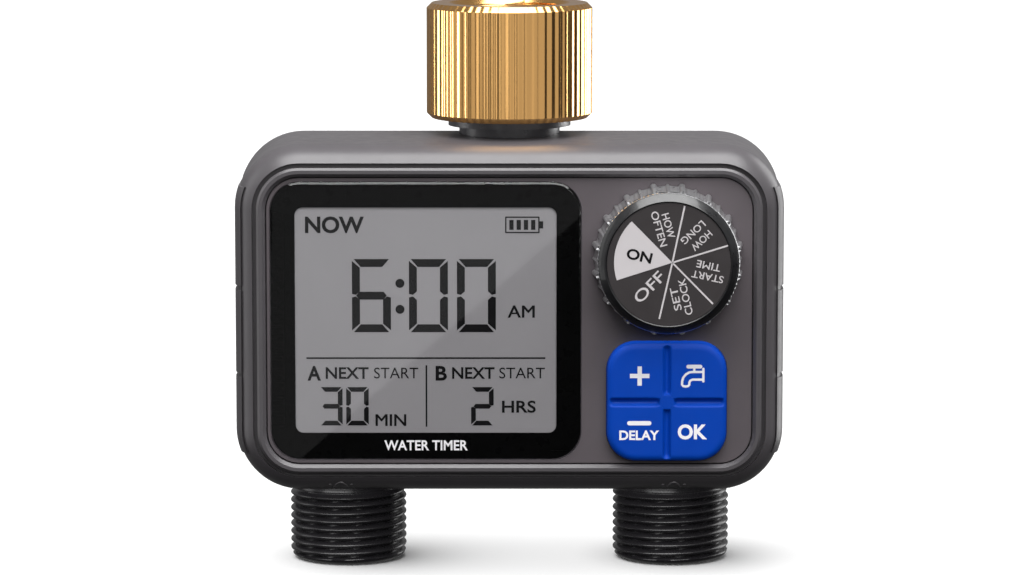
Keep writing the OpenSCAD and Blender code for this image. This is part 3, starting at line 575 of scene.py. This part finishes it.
def make_dial_knob(material):
    centre = facing("dial_knob")
    low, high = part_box("dial_knob")
    front, back = low[1], high[1]
    ribs, base = 16, (high[0] - low[0]) / 2 - 0.75 * MM
    top, shoulder = base - 0.9 * MM, front + 2 * MM
    rib_half, ridge_half, notch_half = 0.72 * MM, 0.4 * MM, 0.62
    wave_depth, rib_height, notch_depth, ridge_height = [h * MM for h in (0.2, 0.7, 0.45, 0.28)]
    notch_from = 0.926
    profile = [("flat", back, 13.0 * MM)]
    for t in (0.0, 0.03, 0.07, 0.2, 0.4, 0.6, 0.8, 0.9, 0.925, 0.93, 0.97, 1.0):
        profile.append(("wall", back + (shoulder - back) * t, t))
    rim = [(1.75, 15.58), (1.4, 15.36), (0.8, 14.7), (0.4, 14.27), (0.12, 13.98), (0.0, 13.8)]
    profile += [("flat", front + dy * MM, r * MM) for dy, r in rim]
    profile += [("flat", front + 0.02 * MM, 13.68 * MM), ("flat", front + 0.1 * MM, 13.6 * MM),
                ("flat", front + 0.5 * MM, 13.6 * MM), ("flat", front + 0.5 * MM, 1.0 * MM),
                ("flat", front + 3.0 * MM, 1.0 * MM), ("flat", front + 3.0 * MM, 13.0 * MM)]

    def point(i, angle):
        kind, y = profile[i][:2]
        if kind == "flat":
            return about_y(centre, profile[i][2], angle, y)
        t = profile[i][2]
        radius = base + (top - base) * t
        turn = (angle / TAU * ribs) % 1.0
        arc = TAU / ribs * base
        across = (turn - 0.5) * arc / rib_half
        radius -= wave_depth * abs(math.sin(TAU * turn)) * (1 - 0.5 * t)
        if abs(across) < 1:
            if t <= notch_from:
                radius += rib_height * (1 - across ** 4) ** 0.5 * min(1.0, t / 0.03 + 0.3)
            elif abs(across) < notch_half:
                radius -= notch_depth
        between = min(turn, 1 - turn) * arc / ridge_half
        if between < 1:
            radius += ridge_height * math.sqrt(1 - between ** 2) * min(1.0, (1 - t) / 0.05 + 0.3)
        return about_y(centre, radius, angle, y)

    verts, faces = revolved(len(profile), ribs * 56, point)
    piece = add_piece("dial_grip", verts, faces, material, "dial_body", 38)
    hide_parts("dial_knob")


def flat_polygon(points, y0, y1):
    """Verts and faces of a thin plate with that outline of (x, z) points."""
    n = len(points)
    verts = [(x, y0, z) for x, z in points] + [(x, y1, z) for x, z in points]
    faces = [tuple(range(n)), tuple(range(2 * n - 1, n - 1, -1))]
    faces += [(i, n + i, n + (i + 1) % n, (i + 1) % n) for i in range(n)]
    return verts, faces


def joined(shapes):
    verts, faces = [], []
    for more_verts, more_faces in shapes:
        base = len(verts)
        verts += more_verts
        faces += [tuple(base + i for i in face) for face in more_faces]
    return verts, faces


def bar(a, b, width, y0, y1, round_ends=False):
    """A straight printed line from a to b, each (x, z)."""
    along = Vector((b[0] - a[0], b[1] - a[1])).normalized()
    side = Vector((-along[1], along[0])) * width / 2
    if not round_ends:
        points = [(a[0] + side[0], a[1] + side[1]), (a[0] - side[0], a[1] - side[1]),
                  (b[0] - side[0], b[1] - side[1]), (b[0] + side[0], b[1] + side[1])]
        return flat_polygon(points, y0, y1)
    turn = math.atan2(along[1], along[0])
    points = []
    for end, start_angle in ((a, turn + math.pi / 2), (b, turn - math.pi / 2)):
        for k in range(9):
            angle = start_angle + math.pi * k / 8
            points.append((end[0] + width / 2 * math.cos(angle),
                           end[1] + width / 2 * math.sin(angle)))
    return flat_polygon(points, y0, y1)


def stroke(points, width, y0, y1):
    """One printed line through all the (x, z) points, mitred at its bends."""
    verts = []
    for i, (x, z) in enumerate(points):
        before, after = points[max(i - 1, 0)], points[min(i + 1, len(points) - 1)]
        along = Vector((after[0] - before[0], after[1] - before[1])).normalized()
        dx, dz = Vector((-along[1], along[0])) * width / 2
        verts += [(x + dx, y0, z + dz), (x - dx, y0, z - dz), (x - dx, y1, z - dz),
                  (x + dx, y1, z + dz)]
    return capped(verts, 4)


def lettering(words, y, thickness):
    """Verts and faces of words: (text, centre x, centre z, width, height, degrees, weight)."""
    verts, faces = [], []
    for text, x, z, width, height, degrees, weight in words:
        curve = bpy.data.curves.new("word", "FONT")
        curve.body = text
        curve.offset = weight
        curve.resolution_u = 4
        curve.extrude = 0.5
        holder = added("word", curve)
        graph = bpy.context.evaluated_depsgraph_get()
        mesh = bpy.data.meshes.new_from_object(holder.evaluated_get(graph))
        xs = [v.co.x for v in mesh.vertices]
        ys = [v.co.y for v in mesh.vertices]
        mid_x, mid_y = (min(xs) + max(xs)) / 2, (min(ys) + max(ys)) / 2
        scale_x, scale_y = width / (max(xs) - min(xs)), height / (max(ys) - min(ys))
        turn = math.radians(degrees)
        base = len(verts)
        for v in mesh.vertices:
            u, w = (v.co.x - mid_x) * scale_x, (v.co.y - mid_y) * scale_y
            verts.append((x + u * math.cos(turn) - w * math.sin(turn), y - v.co.z * thickness,
                          z + u * math.sin(turn) + w * math.cos(turn)))
        faces += [tuple(base + i for i in p.vertices) for p in mesh.polygons]
        bpy.data.objects.remove(holder)
        bpy.data.meshes.remove(mesh)
        bpy.data.curves.remove(curve)
    return verts, faces


def make_dial_print(white, black):
    centre = facing("dial_knob")
    label_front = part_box("dial_label")[0][1]
    hub = (centre[0] + 0.73 * MM, centre[1] + 0.37 * MM)
    y0, y1 = label_front - 0.05 * MM, label_front - 0.005 * MM
    outer = 12.7 * MM

    def edge(degrees):
        a = math.radians(degrees)
        return hub[0] + outer * math.cos(a), hub[1] + outer * math.sin(a)

    shapes = [flat_polygon([hub] + [edge(a) for a in steps(*DIAL_ON, 24)], y0, y1)]
    shapes += [bar(hub, edge(a), 0.36 * MM, y0, y1) for a in DIAL_LINES]
    words = [("HOW", -0.9, 8.1, 5.5, 1.65, -74), ("OFTEN", -2.95, 7.4, 7.9, 1.65, -74),
             ("HOW", 6.35, 4.85, 5.3, 1.6, -137), ("LONG", 4.5, 6.65, 6.3, 1.6, -137),
             ("START", 7.7, -3.1, 7.0, 1.6, 168), ("TIME", 7.9, -0.7, 5.3, 1.6, 168),
             ("SET", 0.8, -8.0, 5.1, 1.65, 103), ("CLOCK", 2.9, -7.5, 8.1, 1.65, 103),
             ("OFF", -5.05, -5.4, 8.0, 2.5, 46)]
    white_words = [(t, hub[0] + x * MM, hub[1] + z * MM, w * MM, h * MM, r, 0.008)
                   for t, x, z, w, h, r in words]
    shapes.append(lettering(white_words, (y0 + y1) / 2, y1 - y0))
    verts, faces = joined(shapes)
    piece = add_piece("dial_print_white", verts, faces, white, "dial_body")
    on_word = [("ON", hub[0] - 7.2 * MM, hub[1] + 1.5 * MM, 5.6 * MM, 2.4 * MM, -13, 0.03)]
    verts, faces = lettering(on_word, y0 - 0.01 * MM, 0.03 * MM)
    piece = add_piece("dial_print_black", verts, faces, black, "dial_body")


# ---- key pad

KEYS = (("key_plus", -1, 1), ("key_tap", 1, 1), ("key_minus", -1, -1), ("key_ok", 1, -1))
PAD_RADIUS = 6.4 * MM
WEB_HALF = 0.65 * MM
HUB_R = 1.6 * MM
GROOVE_HALF = 1.05 * MM
GROOVE_DEPTH = 0.95 * MM


def pad_frame():
    """The pad's middle (x, z), its half width, and how far forward it stands."""
    lows, highs = zip(*[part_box(node) for node, _, _ in KEYS])
    x0, x1 = min(p[0] for p in lows), max(p[0] for p in highs)
    z0, z1 = min(p[2] for p in lows), max(p[2] for p in highs)
    return ((x0 + x1) / 2, (z0 + z1) / 2), (x1 - x0) / 2, min(p[1] for p in lows)


def edge_distance(x, z, half):
    """How far (x, z) lies inside the pad's outline, a rounded square."""
    dx, dz = abs(x) - (half - PAD_RADIUS), abs(z) - (half - PAD_RADIUS)
    outside = math.hypot(max(dx, 0), max(dz, 0))
    return PAD_RADIUS - outside - min(max(dx, dz), 0)


def smooth_step(value, low, high):
    t = min(max((value - low) / (high - low), 0), 1)
    return t * t * (3 - 2 * t)


def pad_drop(x, z, half):
    """Depth of the pad's surface below its highest level."""
    bevel, bevel_drop = 1.5 * MM, 1.15 * MM
    d = edge_distance(x, z, half)
    drop = 0.0
    if d < bevel:
        t = 1 - max(d, 0) / bevel
        drop += bevel_drop * (1 - math.sqrt(max(1 - t * t, 0)))
    for across, along in ((abs(x), abs(z)), (abs(z), abs(x))):
        if across < GROOVE_HALF:
            shape = 0.5 + 0.5 * math.cos(math.pi * across / GROOVE_HALF)
            ends = smooth_step(along, HUB_R - 0.1 * MM, HUB_R + 0.5 * MM)
            ends *= 1 - smooth_step(along, half - 1.3 * MM, half - 0.5 * MM)
            drop += GROOVE_DEPTH * shape ** 0.7 * ends
    return drop


def closed_cap(grid, y_back):
    """A surface patch (rows of points) given walls back to y_back and a flat back."""
    rows, cols = len(grid), len(grid[0])
    verts = [p for row in grid for p in row]
    faces = [(i * cols + j, i * cols + j + 1, (i + 1) * cols + j + 1, (i + 1) * cols + j)
             for i in range(rows - 1) for j in range(cols - 1)]
    rim = list(range(cols))
    rim += [i * cols + cols - 1 for i in range(1, rows)]
    rim += [(rows - 1) * cols + j for j in range(cols - 2, -1, -1)]
    rim += [i * cols for i in range(rows - 2, 0, -1)]
    base = len(verts)
    verts += [(verts[k][0], y_back, verts[k][2]) for k in rim]
    n = len(rim)
    faces += [(rim[k], rim[(k + 1) % n], base + (k + 1) % n, base + k) for k in range(n)]
    faces.append(tuple(base + k for k in range(n)))
    return verts, faces


def make_key(name, node, body, side_x, side_z, material):
    centre, half, front = pad_frame()
    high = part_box(node)[1]
    start = WEB_HALF + 0.012 * MM
    angles = [0, 0.5, 1.1, 1.8, 2.7, 3.8, 5, 6.5, 8.5, 11, 14, 18, 23, 28, 33, 37, 41, 45]
    angles += [90 - a for a in reversed(angles[:-1])]
    travel = [0, 0.03, 0.07, 0.12, 0.2, 0.35, 0.5, 0.65, 0.78, 0.86, 0.89, 0.915, 0.935, 0.955,
              0.97, 0.98, 0.988, 0.995, 1.0]

    def reach(angle):
        """How far a ray from the key's inner corner runs to the pad's outline."""
        near, far = 0.0, 2 * half
        for _ in range(40):
            mid = (near + far) / 2
            x, z = start + mid * math.cos(angle), start + mid * math.sin(angle)
            if edge_distance(x, z, half) > 0:
                near = mid
            else:
                far = mid
        return near

    def hub_exit(angle):
        """Where the same ray leaves the round hub."""
        b = start * (math.cos(angle) + math.sin(angle))
        hub = HUB_R + 0.012 * MM
        return -b + math.sqrt(b * b - 2 * start * start + hub * hub)

    grid = []
    for t in travel:
        row = []
        for degrees in angles:
            angle = math.radians(degrees)
            first, last = hub_exit(angle), reach(angle)
            far = first + (last - first) * t
            x, z = start + far * math.cos(angle), start + far * math.sin(angle)
            y = front + pad_drop(x, z, half)
            row.append((centre[0] + side_x * x, y, centre[1] + side_z * z))
        grid.append(row)
    cap_back = front + 5.0 * MM
    shapes = [closed_cap(grid, cap_back)]
    offset = 6.9 * MM
    stem_centre = (centre[0] + side_x * offset, centre[1] + side_z * offset)
    stem_r = 2.2 * MM
    stem = [(cap_back - 0.5 * MM, 0.6), (cap_back - 0.5 * MM, 1.0), (high[1] - 0.4 * MM, 1.0),
            (high[1], 0.8), (high[1], 0.3), (cap_back - 0.4 * MM, 0.3)]
    shapes.append(revolved(len(stem), 24, lambda i, a: about_y(
        stem_centre, stem_r * stem[i][1], a, stem[i][0])))
    verts, faces = joined(shapes)
    piece = add_piece(name, verts, faces, material, body, 50)
    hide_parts(node)


def make_pad_web(material):
    centre, half, front = pad_frame()
    reach = half - 0.03 * MM
    low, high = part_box("keypad_mat")
    back, flange_half, corner_r = high[1], (high[0] - low[0]) / 2, 7 * MM
    hub = []
    for t in (0.001, 0.3, 0.6, 0.8, 0.9, 1.0):
        row = []
        for k in range(49):
            angle = TAU * k / 48
            x, z = HUB_R * t * math.cos(angle), HUB_R * t * math.sin(angle)
            row.append((centre[0] + x, front + pad_drop(x, z, half), centre[1] + z))
        hub.append(row)
    shapes = [closed_cap(hub, back - 0.3 * MM)]
    for turn in range(4):
        cos_t, sin_t = round(math.cos(turn * math.pi / 2)), round(math.sin(turn * math.pi / 2))
        arm = []
        for t in [0, 0.03, 0.06, 0.1, 0.2, 0.4, 0.6, 0.8, 0.88, 0.91, 0.94, 0.96, 0.98, 0.99, 1]:
            row = []
            for k in range(9):
                across = WEB_HALF * (k / 4 - 1)
                first = math.sqrt(HUB_R ** 2 - across ** 2)
                along = first + (reach - first) * t
                x, z = along * cos_t - across * sin_t, along * sin_t + across * cos_t
                y = front + pad_drop(x, z, half)
                row.append((centre[0] + x, y, centre[1] + z))
            arm.append(row)
        shapes.append(closed_cap(arm, back - 0.4 * MM))
    outline = []
    for k in range(64):
        angle = TAU * k / 64
        cx = math.copysign(flange_half - corner_r, math.cos(angle))
        cz = math.copysign(flange_half - corner_r, math.sin(angle))
        outline.append((centre[0] + cx + corner_r * math.cos(angle),
                        centre[1] + cz + corner_r * math.sin(angle)))
    shapes.append(flat_polygon(outline, back - 0.5 * MM, back))
    verts, faces = joined(shapes)
    piece = add_piece("pad_web", verts, faces, material, "case", 50)
    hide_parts("keypad_mat")


def make_key_marks(material):
    centre, _, front = pad_frame()
    y0, y1 = front - 0.03 * MM, front + 0.12 * MM

    def mark(name, body, shapes):
        verts, faces = joined(shapes)
        piece = add_piece(name, verts, faces, material, body)

    def at(x, z):
        return (centre[0] + x * MM, centre[1] + z * MM)

    arm, thick = 2.15, 0.48
    corner = [(-arm, -thick), (-thick, -thick), (-thick, -arm)]
    cross = []
    for turn in range(4):
        for x, z in corner:
            for _ in range(turn):
                x, z = -z, x
            cross.append(at(x - 6.05, z + 5.9))
    mark("mark_plus", "key_plus_body", [flat_polygon(cross, y0, y1)])
    minus = [bar(at(-8.3, -4.65), at(-3.9, -4.65), 2 * thick * MM, y0, y1, True)]
    minus.append(lettering([("DELAY", *at(-6.1, -7.35), 8.8 * MM, 2.15 * MM, 0, 0.03)],
                           (y0 + y1) / 2, y1 - y0))
    mark("mark_minus_delay", "key_minus_body", minus)
    ok = [lettering([("OK", *at(5.65, -6.6), 6.5 * MM, 3.4 * MM, 0, 0.035)],
                    (y0 + y1) / 2, y1 - y0)]
    mark("mark_ok", "key_ok_body", ok)
    line, lift = 0.52 * MM, 0.004 * MM
    outer = [(7.9, 6.8), (5.6, 6.8), (4.9, 6.7), (4.2, 6.3), (3.6, 5.6), (3.35, 4.8), (3.3, 3.95),
             (3.55, 3.65), (4.1, 3.55), (4.65, 3.65), (4.9, 3.95), (4.92, 4.4), (5.1, 4.85),
             (5.6, 5.1), (7.9, 5.1)]
    tap = [stroke([at(*p) for p in outer], line, y0, y1),
           bar(at(8.0, 4.7), at(8.0, 7.5), line, y0 - lift, y1, True),
           bar(at(6.0, 6.9), at(6.0, 7.8), line, y0 - 2 * lift, y1),
           bar(at(4.65, 8.0), at(7.35, 8.0), 0.85 * MM, y0 - 3 * lift, y1, True)]
    mark("mark_tap", "key_tap_body", tap)


# ---- display

WINDOW_W, WINDOW_H = 57.8 * MM, 50.3 * MM
DIGIT_SEGMENTS = {"0": "abcdef", "2": "abged", "3": "abgcd", "6": "afgedc"}


def digit(text, x, z, width, height, line, y0, y1):
    """A seven-segment digit whose top left corner is (x, z)."""
    slant, gap = line * 0.42, line * 0.1
    left, right, top = x, x + width, z
    mid, bottom = z - height / 2, z - height

    def across(level, down):
        a, b = left + gap, right - gap
        if down == 0:
            half = line / 2
            return [(a + slant, level), (a + slant + half * 0.8, level + half),
                    (b - slant - half * 0.8, level + half), (b - slant, level),
                    (b - slant - half * 0.8, level - half), (a + slant + half * 0.8, level - half)]
        return [(a + slant * 0.3, level), (b - slant * 0.3, level),
                (b - line, level + down * line), (a + line, level + down * line)]

    def upright(edge, inward, outer, inner):
        way = 1 if outer > inner else -1
        return [(edge, outer - way * (gap + slant * 0.3)),
                (edge + inward * line, outer - way * (gap + line)),
                (edge + inward * line, inner + way * (gap + line * 0.45)),
                (edge + inward * line * 0.5, inner + way * gap),
                (edge, inner + way * (gap + slant * 0.3))]

    outlines = {"a": across(top, -1), "g": across(mid, 0), "d": across(bottom, 1),
                "f": upright(left, 1, top, mid), "b": upright(right, -1, top, mid),
                "e": upright(left, 1, bottom, mid), "c": upright(right, -1, bottom, mid)}
    return [flat_polygon(outlines[s], y0, y1) for s in DIGIT_SEGMENTS[text]]


def make_display_marks(ink):
    x, z = facing("lcd_glass")
    left, top = x - WINDOW_W / 2, z + WINDOW_H / 2
    glass_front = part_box("lcd_glass")[0][1]
    y0, y1 = glass_front - 0.03 * MM, glass_front - 0.005 * MM

    def at(x, down):
        return (left + x * MM, top - down * MM)

    shapes = []
    for text, x in (("6", 12.6), ("0", 25.2), ("0", 35.8)):
        shapes += digit(text, *at(x, 11.5), 8.6 * MM, 16.3 * MM, 1.75 * MM, y0, y1)
    for text, x in (("3", 5.4), ("0", 11.2), ("2", 38.9)):
        shapes += digit(text, *at(x, 40.1), 5.0 * MM, 8.6 * MM, 1.05 * MM, y0, y1)
    for down in (16.9, 22.7):
        cx, cz = at(23.2, down)
        dot = [(cx + MM * math.cos(TAU * k / 24), cz + MM * math.sin(TAU * k / 24))
               for k in range(24)]
        shapes.append(flat_polygon(dot, y0, y1))
    shapes.append(bar(at(2.45, 33.6), at(55.35, 33.6), 0.36 * MM, y0, y1))
    shapes.append(bar(at(29.0, 35.2), at(29.0, 49.0), 0.36 * MM, y0, y1))
    battery = [(46.6, 2.2), (53.9, 2.2), (53.9, 5.6), (46.6, 5.6)]
    for a, b in zip(battery, battery[1:] + battery[:1]):
        shapes.append(bar(at(*a), at(*b), 0.3 * MM, y0, y1, True))
    shapes.append(bar(at(54.45, 3.1), at(54.45, 4.7), 0.8 * MM, y0, y1))
    for k in range(4):
        x = 47.85 + 1.6 * k
        shapes.append(bar(at(x, 2.8), at(x, 5.0), 0.95 * MM, y0, y1))
    words = [("NOW", 8.8, 3.9, 13.0, 3.75, 0.03),
             ("A", 4.15, 37.0, 3.0, 3.3, 0.03), ("NEXT", 11.45, 36.95, 9.5, 2.6, 0.02),
             ("START", 22.3, 36.95, 9.8, 2.45, 0.0), ("B", 32.3, 37.0, 2.5, 3.3, 0.03),
             ("NEXT", 39.4, 36.95, 9.4, 2.6, 0.02), ("START", 50.2, 36.95, 10.1, 2.45, 0.0),
             ("HRS", 49.5, 44.5, 7.5, 2.75, 0.02)]
    placed = [(t, *at(x, down), w * MM, h * MM, 0, weight) for t, x, down, w, h, weight in words]
    shapes.append(lettering(placed, (y0 + y1) / 2, y1 - y0))
    for shift in (-0.07, 0.0, 0.07):
        pair = [("AM", *at(50.0 + shift, 23.2), 5.9 * MM, 2.75 * MM, 0, 0.0),
                ("MIN", *at(21.1 + shift, 47.5), 6.7 * MM, 2.65 * MM, 0, 0.0)]
        shapes.append(lettering(pair, (y0 + y1) / 2 - shift * 0.05 * MM, y1 - y0))
    verts, faces = joined(shapes)
    piece = add_piece("lcd_segments", verts, faces, ink, "case")


def rounded_loop(centre, half, radius, y):
    """Points round a round-cornered rectangle that faces forward."""
    points = []
    for quarter in range(4):
        for k in range(13):
            angle = (quarter + k / 12) * math.pi / 2
            side_x = 1 if quarter in (0, 3) else -1
            side_z = 1 if quarter in (0, 1) else -1
            points.append((centre[0] + side_x * (half[0] - radius) + radius * math.cos(angle), y,
                           centre[1] + side_z * (half[1] - radius) + radius * math.sin(angle)))
    return points


def make_lens(material):
    low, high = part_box("display_lens")
    centre = facing("display_lens")
    half = ((high[0] - low[0]) / 2, (high[2] - low[2]) / 2)
    radius = 6.6 * MM
    edge = [(high[1], 0.0), (low[1] + 0.28 * MM, 0.0), (low[1] + 0.24 * MM, 0.04),
            (low[1] + 0.02 * MM, 0.47), (low[1], 0.52)]
    loops = []
    for y, inset in edge:
        cut = inset * MM
        loops.append(rounded_loop(centre, (half[0] - cut, half[1] - cut), radius - cut, y))
    verts, faces = capped([p for loop in loops for p in loop], len(loops[0]))
    piece = add_piece("window_lens", verts, faces, material, "case", 20)
    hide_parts("display_lens")


def make_lens_words(white):
    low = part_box("lens_border")[0]
    window_bottom = facing("lcd_glass")[1] - WINDOW_H / 2
    z = (low[2] + window_bottom) / 2 + 0.1 * MM
    word = [("WATER TIMER", facing("lens_border")[0], z, 18.5 * MM, 2.3 * MM, 0, 0.02)]
    verts, faces = lettering(word, low[1] - 0.02 * MM, 0.02 * MM)
    piece = add_piece("lens_words", verts, faces, white, "case")


# ---- marks on the case

def ridge(spine, width, height):
    """Verts and faces of a low rounded ridge along (point, normal) pairs on a surface."""
    verts = []
    across = [(-0.5, -0.5), (-0.42, 0.45), (-0.15, 1.0), (0.15, 1.0), (0.42, 0.45), (0.5, -0.5)]
    for i, (p, n) in enumerate(spine):
        before, after = spine[max(i - 1, 0)][0], spine[min(i + 1, len(spine) - 1)][0]
        side = n.cross(after - before).normalized()
        verts += [p + side * width * s + n * height * h for s, h in across]
    return capped(verts, len(across))


def make_case_marks(material):
    """A small moulded arc between two dots, above each outlet on the case's lower edge."""
    surface = BVHTree.FromObject(NODES["front_housing"], bpy.context.evaluated_depsgraph_get())
    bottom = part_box("front_housing")[0][2]
    forward = Vector((0, 1, 0))
    strokes = [[(-1.5, 1.75), (-1.1, 2.4), (-0.5, 2.9), (0, 3.05), (0.5, 2.9), (1.1, 2.4),
                (1.5, 1.75)], [(-2.6, 2.4), (-2.4, 2.5), (-2.2, 2.4)],
               [(2.2, 2.4), (2.4, 2.5), (2.6, 2.4)]]
    for name, mark_x in (("case_mark_left", -37.5), ("case_mark_right", 36.5)):
        shapes = []
        for points in strokes:
            spine = []
            for x, up in points:
                start = Vector(((mark_x + x) * MM, -0.1, bottom + up * MM))
                hit, normal, _, _ = surface.ray_cast(start, forward)
                spine.append((hit, normal))
            shapes.append(ridge(spine, 0.45 * MM, 0.24 * MM))
        verts, faces = joined(shapes)
        piece = add_piece(name, verts, faces, material, "case")


# ---- finishing the CAD nodes

def dress(node, material):
    for slot in NODES[node].material_slots:
        slot.material = material
    if not NODES[node].material_slots:
        NODES[node].data.materials.append(material)


def dress_all():
    case = finish("case_gunmetal", (0.07, 0.065, 0.07), 0.35, grain=5200, bump=0.05,
                  vary=0.04, rough_vary=0.03)
    fascia = finish("fascia_matt", (0.085, 0.073, 0.08), 0.5, grain=6500, bump=0.16, vary=0.05,
                    rough_vary=0.04, specular=0.35)
    rubber = finish("seal_rubber", (0.012, 0.012, 0.012), 0.62, bump=0.3)
    steel = finish("plated_steel", (0.6, 0.6, 0.6), 0.28, 1.0, grain=3000, stretch=(1, 12, 1))
    dark_steel = finish("drawn_steel", (0.28, 0.29, 0.31), 0.35, 1.0, grain=2500,
                        stretch=(1, 8, 1))
    spring = finish("spring_wire", (0.66, 0.66, 0.67), 0.2, 1.0, grain=5000)
    white_plastic = finish("holder_white", (0.8, 0.8, 0.78), 0.4)
    black_plastic = finish("valve_nylon", (0.02, 0.02, 0.022), 0.45, grain=3500, bump=0.3,
                           vary=0.2)
    acetal = finish("natural_acetal", (0.72, 0.72, 0.66), 0.35)
    brass = finish("turned_brass", (0.8, 0.55, 0.26), 0.25, 1.0, grain=1500,
                   stretch=(1, 1, 14), vary=0.08)
    leads = lead_material("lead_sleeves")
    cells = finish("cell_sleeve", (0.04, 0.2, 0.07), 0.3, coat=0.4, bump=0.02)
    border = finish("black_print", (0.0015, 0.0015, 0.0016), 0.3, bump=0.0, vary=0.1,
                    specular=0.05)
    contact_rubber = finish("contact_rubber", (0.75, 0.4, 0.45), 0.6, stretch=(12, 1, 1),
                            cloud=900, vary=0.4)
    label = finish("dial_black", (0.034, 0.030, 0.031), 0.38, grain=8000, bump=0.1,
                   specular=0.3)
    plans = [
        (case, "front_housing rear_housing battery_door"),
        (fascia, "fascia_plate"), (border, "lens_border"),
        (lcd_surface("lcd_reflective", (0.36, 0.342, 0.35), 0.21), "lcd_glass"),
        (white_plastic, "lcd_frame"), (contact_rubber, "lcd_connectors"),
        (board_material("solder_mask"), "circuit_board"),
        (steel, "board_screws case_screws door_pins bonnet_screws plunger_a plunger_b"),
        (finish("switch_black", (0.03, 0.03, 0.032), 0.4), "key_switches"),
        (finish("switch_body", (0.025, 0.025, 0.027), 0.42), "rotary_switch"),
        (label, "dial_label"), (acetal, "dial_shaft valve_disc_a valve_disc_b"),
        (rubber, "case_gasket dial_seal inlet_washer neck_seal outlet_seals diaphragm_a"),
        (rubber, "diaphragm_b door_gasket"),
        (brass, "swivel_stem"), (mesh_weave("woven_mesh"), "inlet_filter"),
        (finish("neck_grey", (0.05, 0.048, 0.054), 0.33, grain=5000, bump=0.05), "inlet_neck"),
        (black_plastic, "valve_manifold bonnets"), (dark_steel, "solenoid_a solenoid_b"),
        (spring, "plunger_spring_a plunger_spring_b battery_springs battery_contacts"),
        (leads, "solenoid_leads battery_leads"), (cells, "battery_cells"),
    ]
    for material, nodes in plans:
        for node in nodes.split():
            dress(node, material)
    return case


def main():
    SCENE.view_settings.view_transform = "Standard"
    make_camera()
    floor = make_floor()
    make_world()
    case = dress_all()
    nut_brass = finish("polished_brass", (0.82, 0.46, 0.16), 0.2, 1.0, grain=900,
                       stretch=(1, 1, 0.06), vary=0.04, bump=0.04, cloud=260, rough_vary=0.02)
    outlet_black = finish("outlet_black", (0.007, 0.0065, 0.0075), 0.27, grain=4500, bump=0.03,
                          vary=0.05, rough_vary=0.02)
    blue = finish("pad_blue", (0.0008, 0.05, 0.40), 0.45, grain=7000, bump=0.08, vary=0.04,
                  specular=0.14)
    white_print = finish("white_print", (0.86, 0.84, 0.86), 0.45, bump=0.05, vary=0.02)
    dial_white = finish("dial_white", (0.5, 0.475, 0.485), 0.45, bump=0.05, vary=0.02)
    black_ink = finish("black_ink", (0.006, 0.0055, 0.006), 0.45, bump=0.05, vary=0.1,
                       specular=0.1)
    dial_metal = knurled_gloss("dial_metal", (0.42, 0.42, 0.43), facing("dial_knob"), 96)
    make_inlet_nut(nut_brass)
    for side in "ab":
        make_outlet("outlet_threaded_" + side, "outlet_" + side, outlet_black)
    make_dial_knob(dial_metal)
    make_dial_print(dial_white, black_ink)
    make_pad_web(blue)
    for node, side_x, side_z in KEYS:
        make_key("pad_" + node, node, node + "_body", side_x, side_z, blue)
    make_key_marks(white_print)
    make_display_marks(black_ink)
    make_lens(clear_window("clear_window"))
    make_lens_words(white_print)
    make_case_marks(case)
    make_studio(floor)


main()
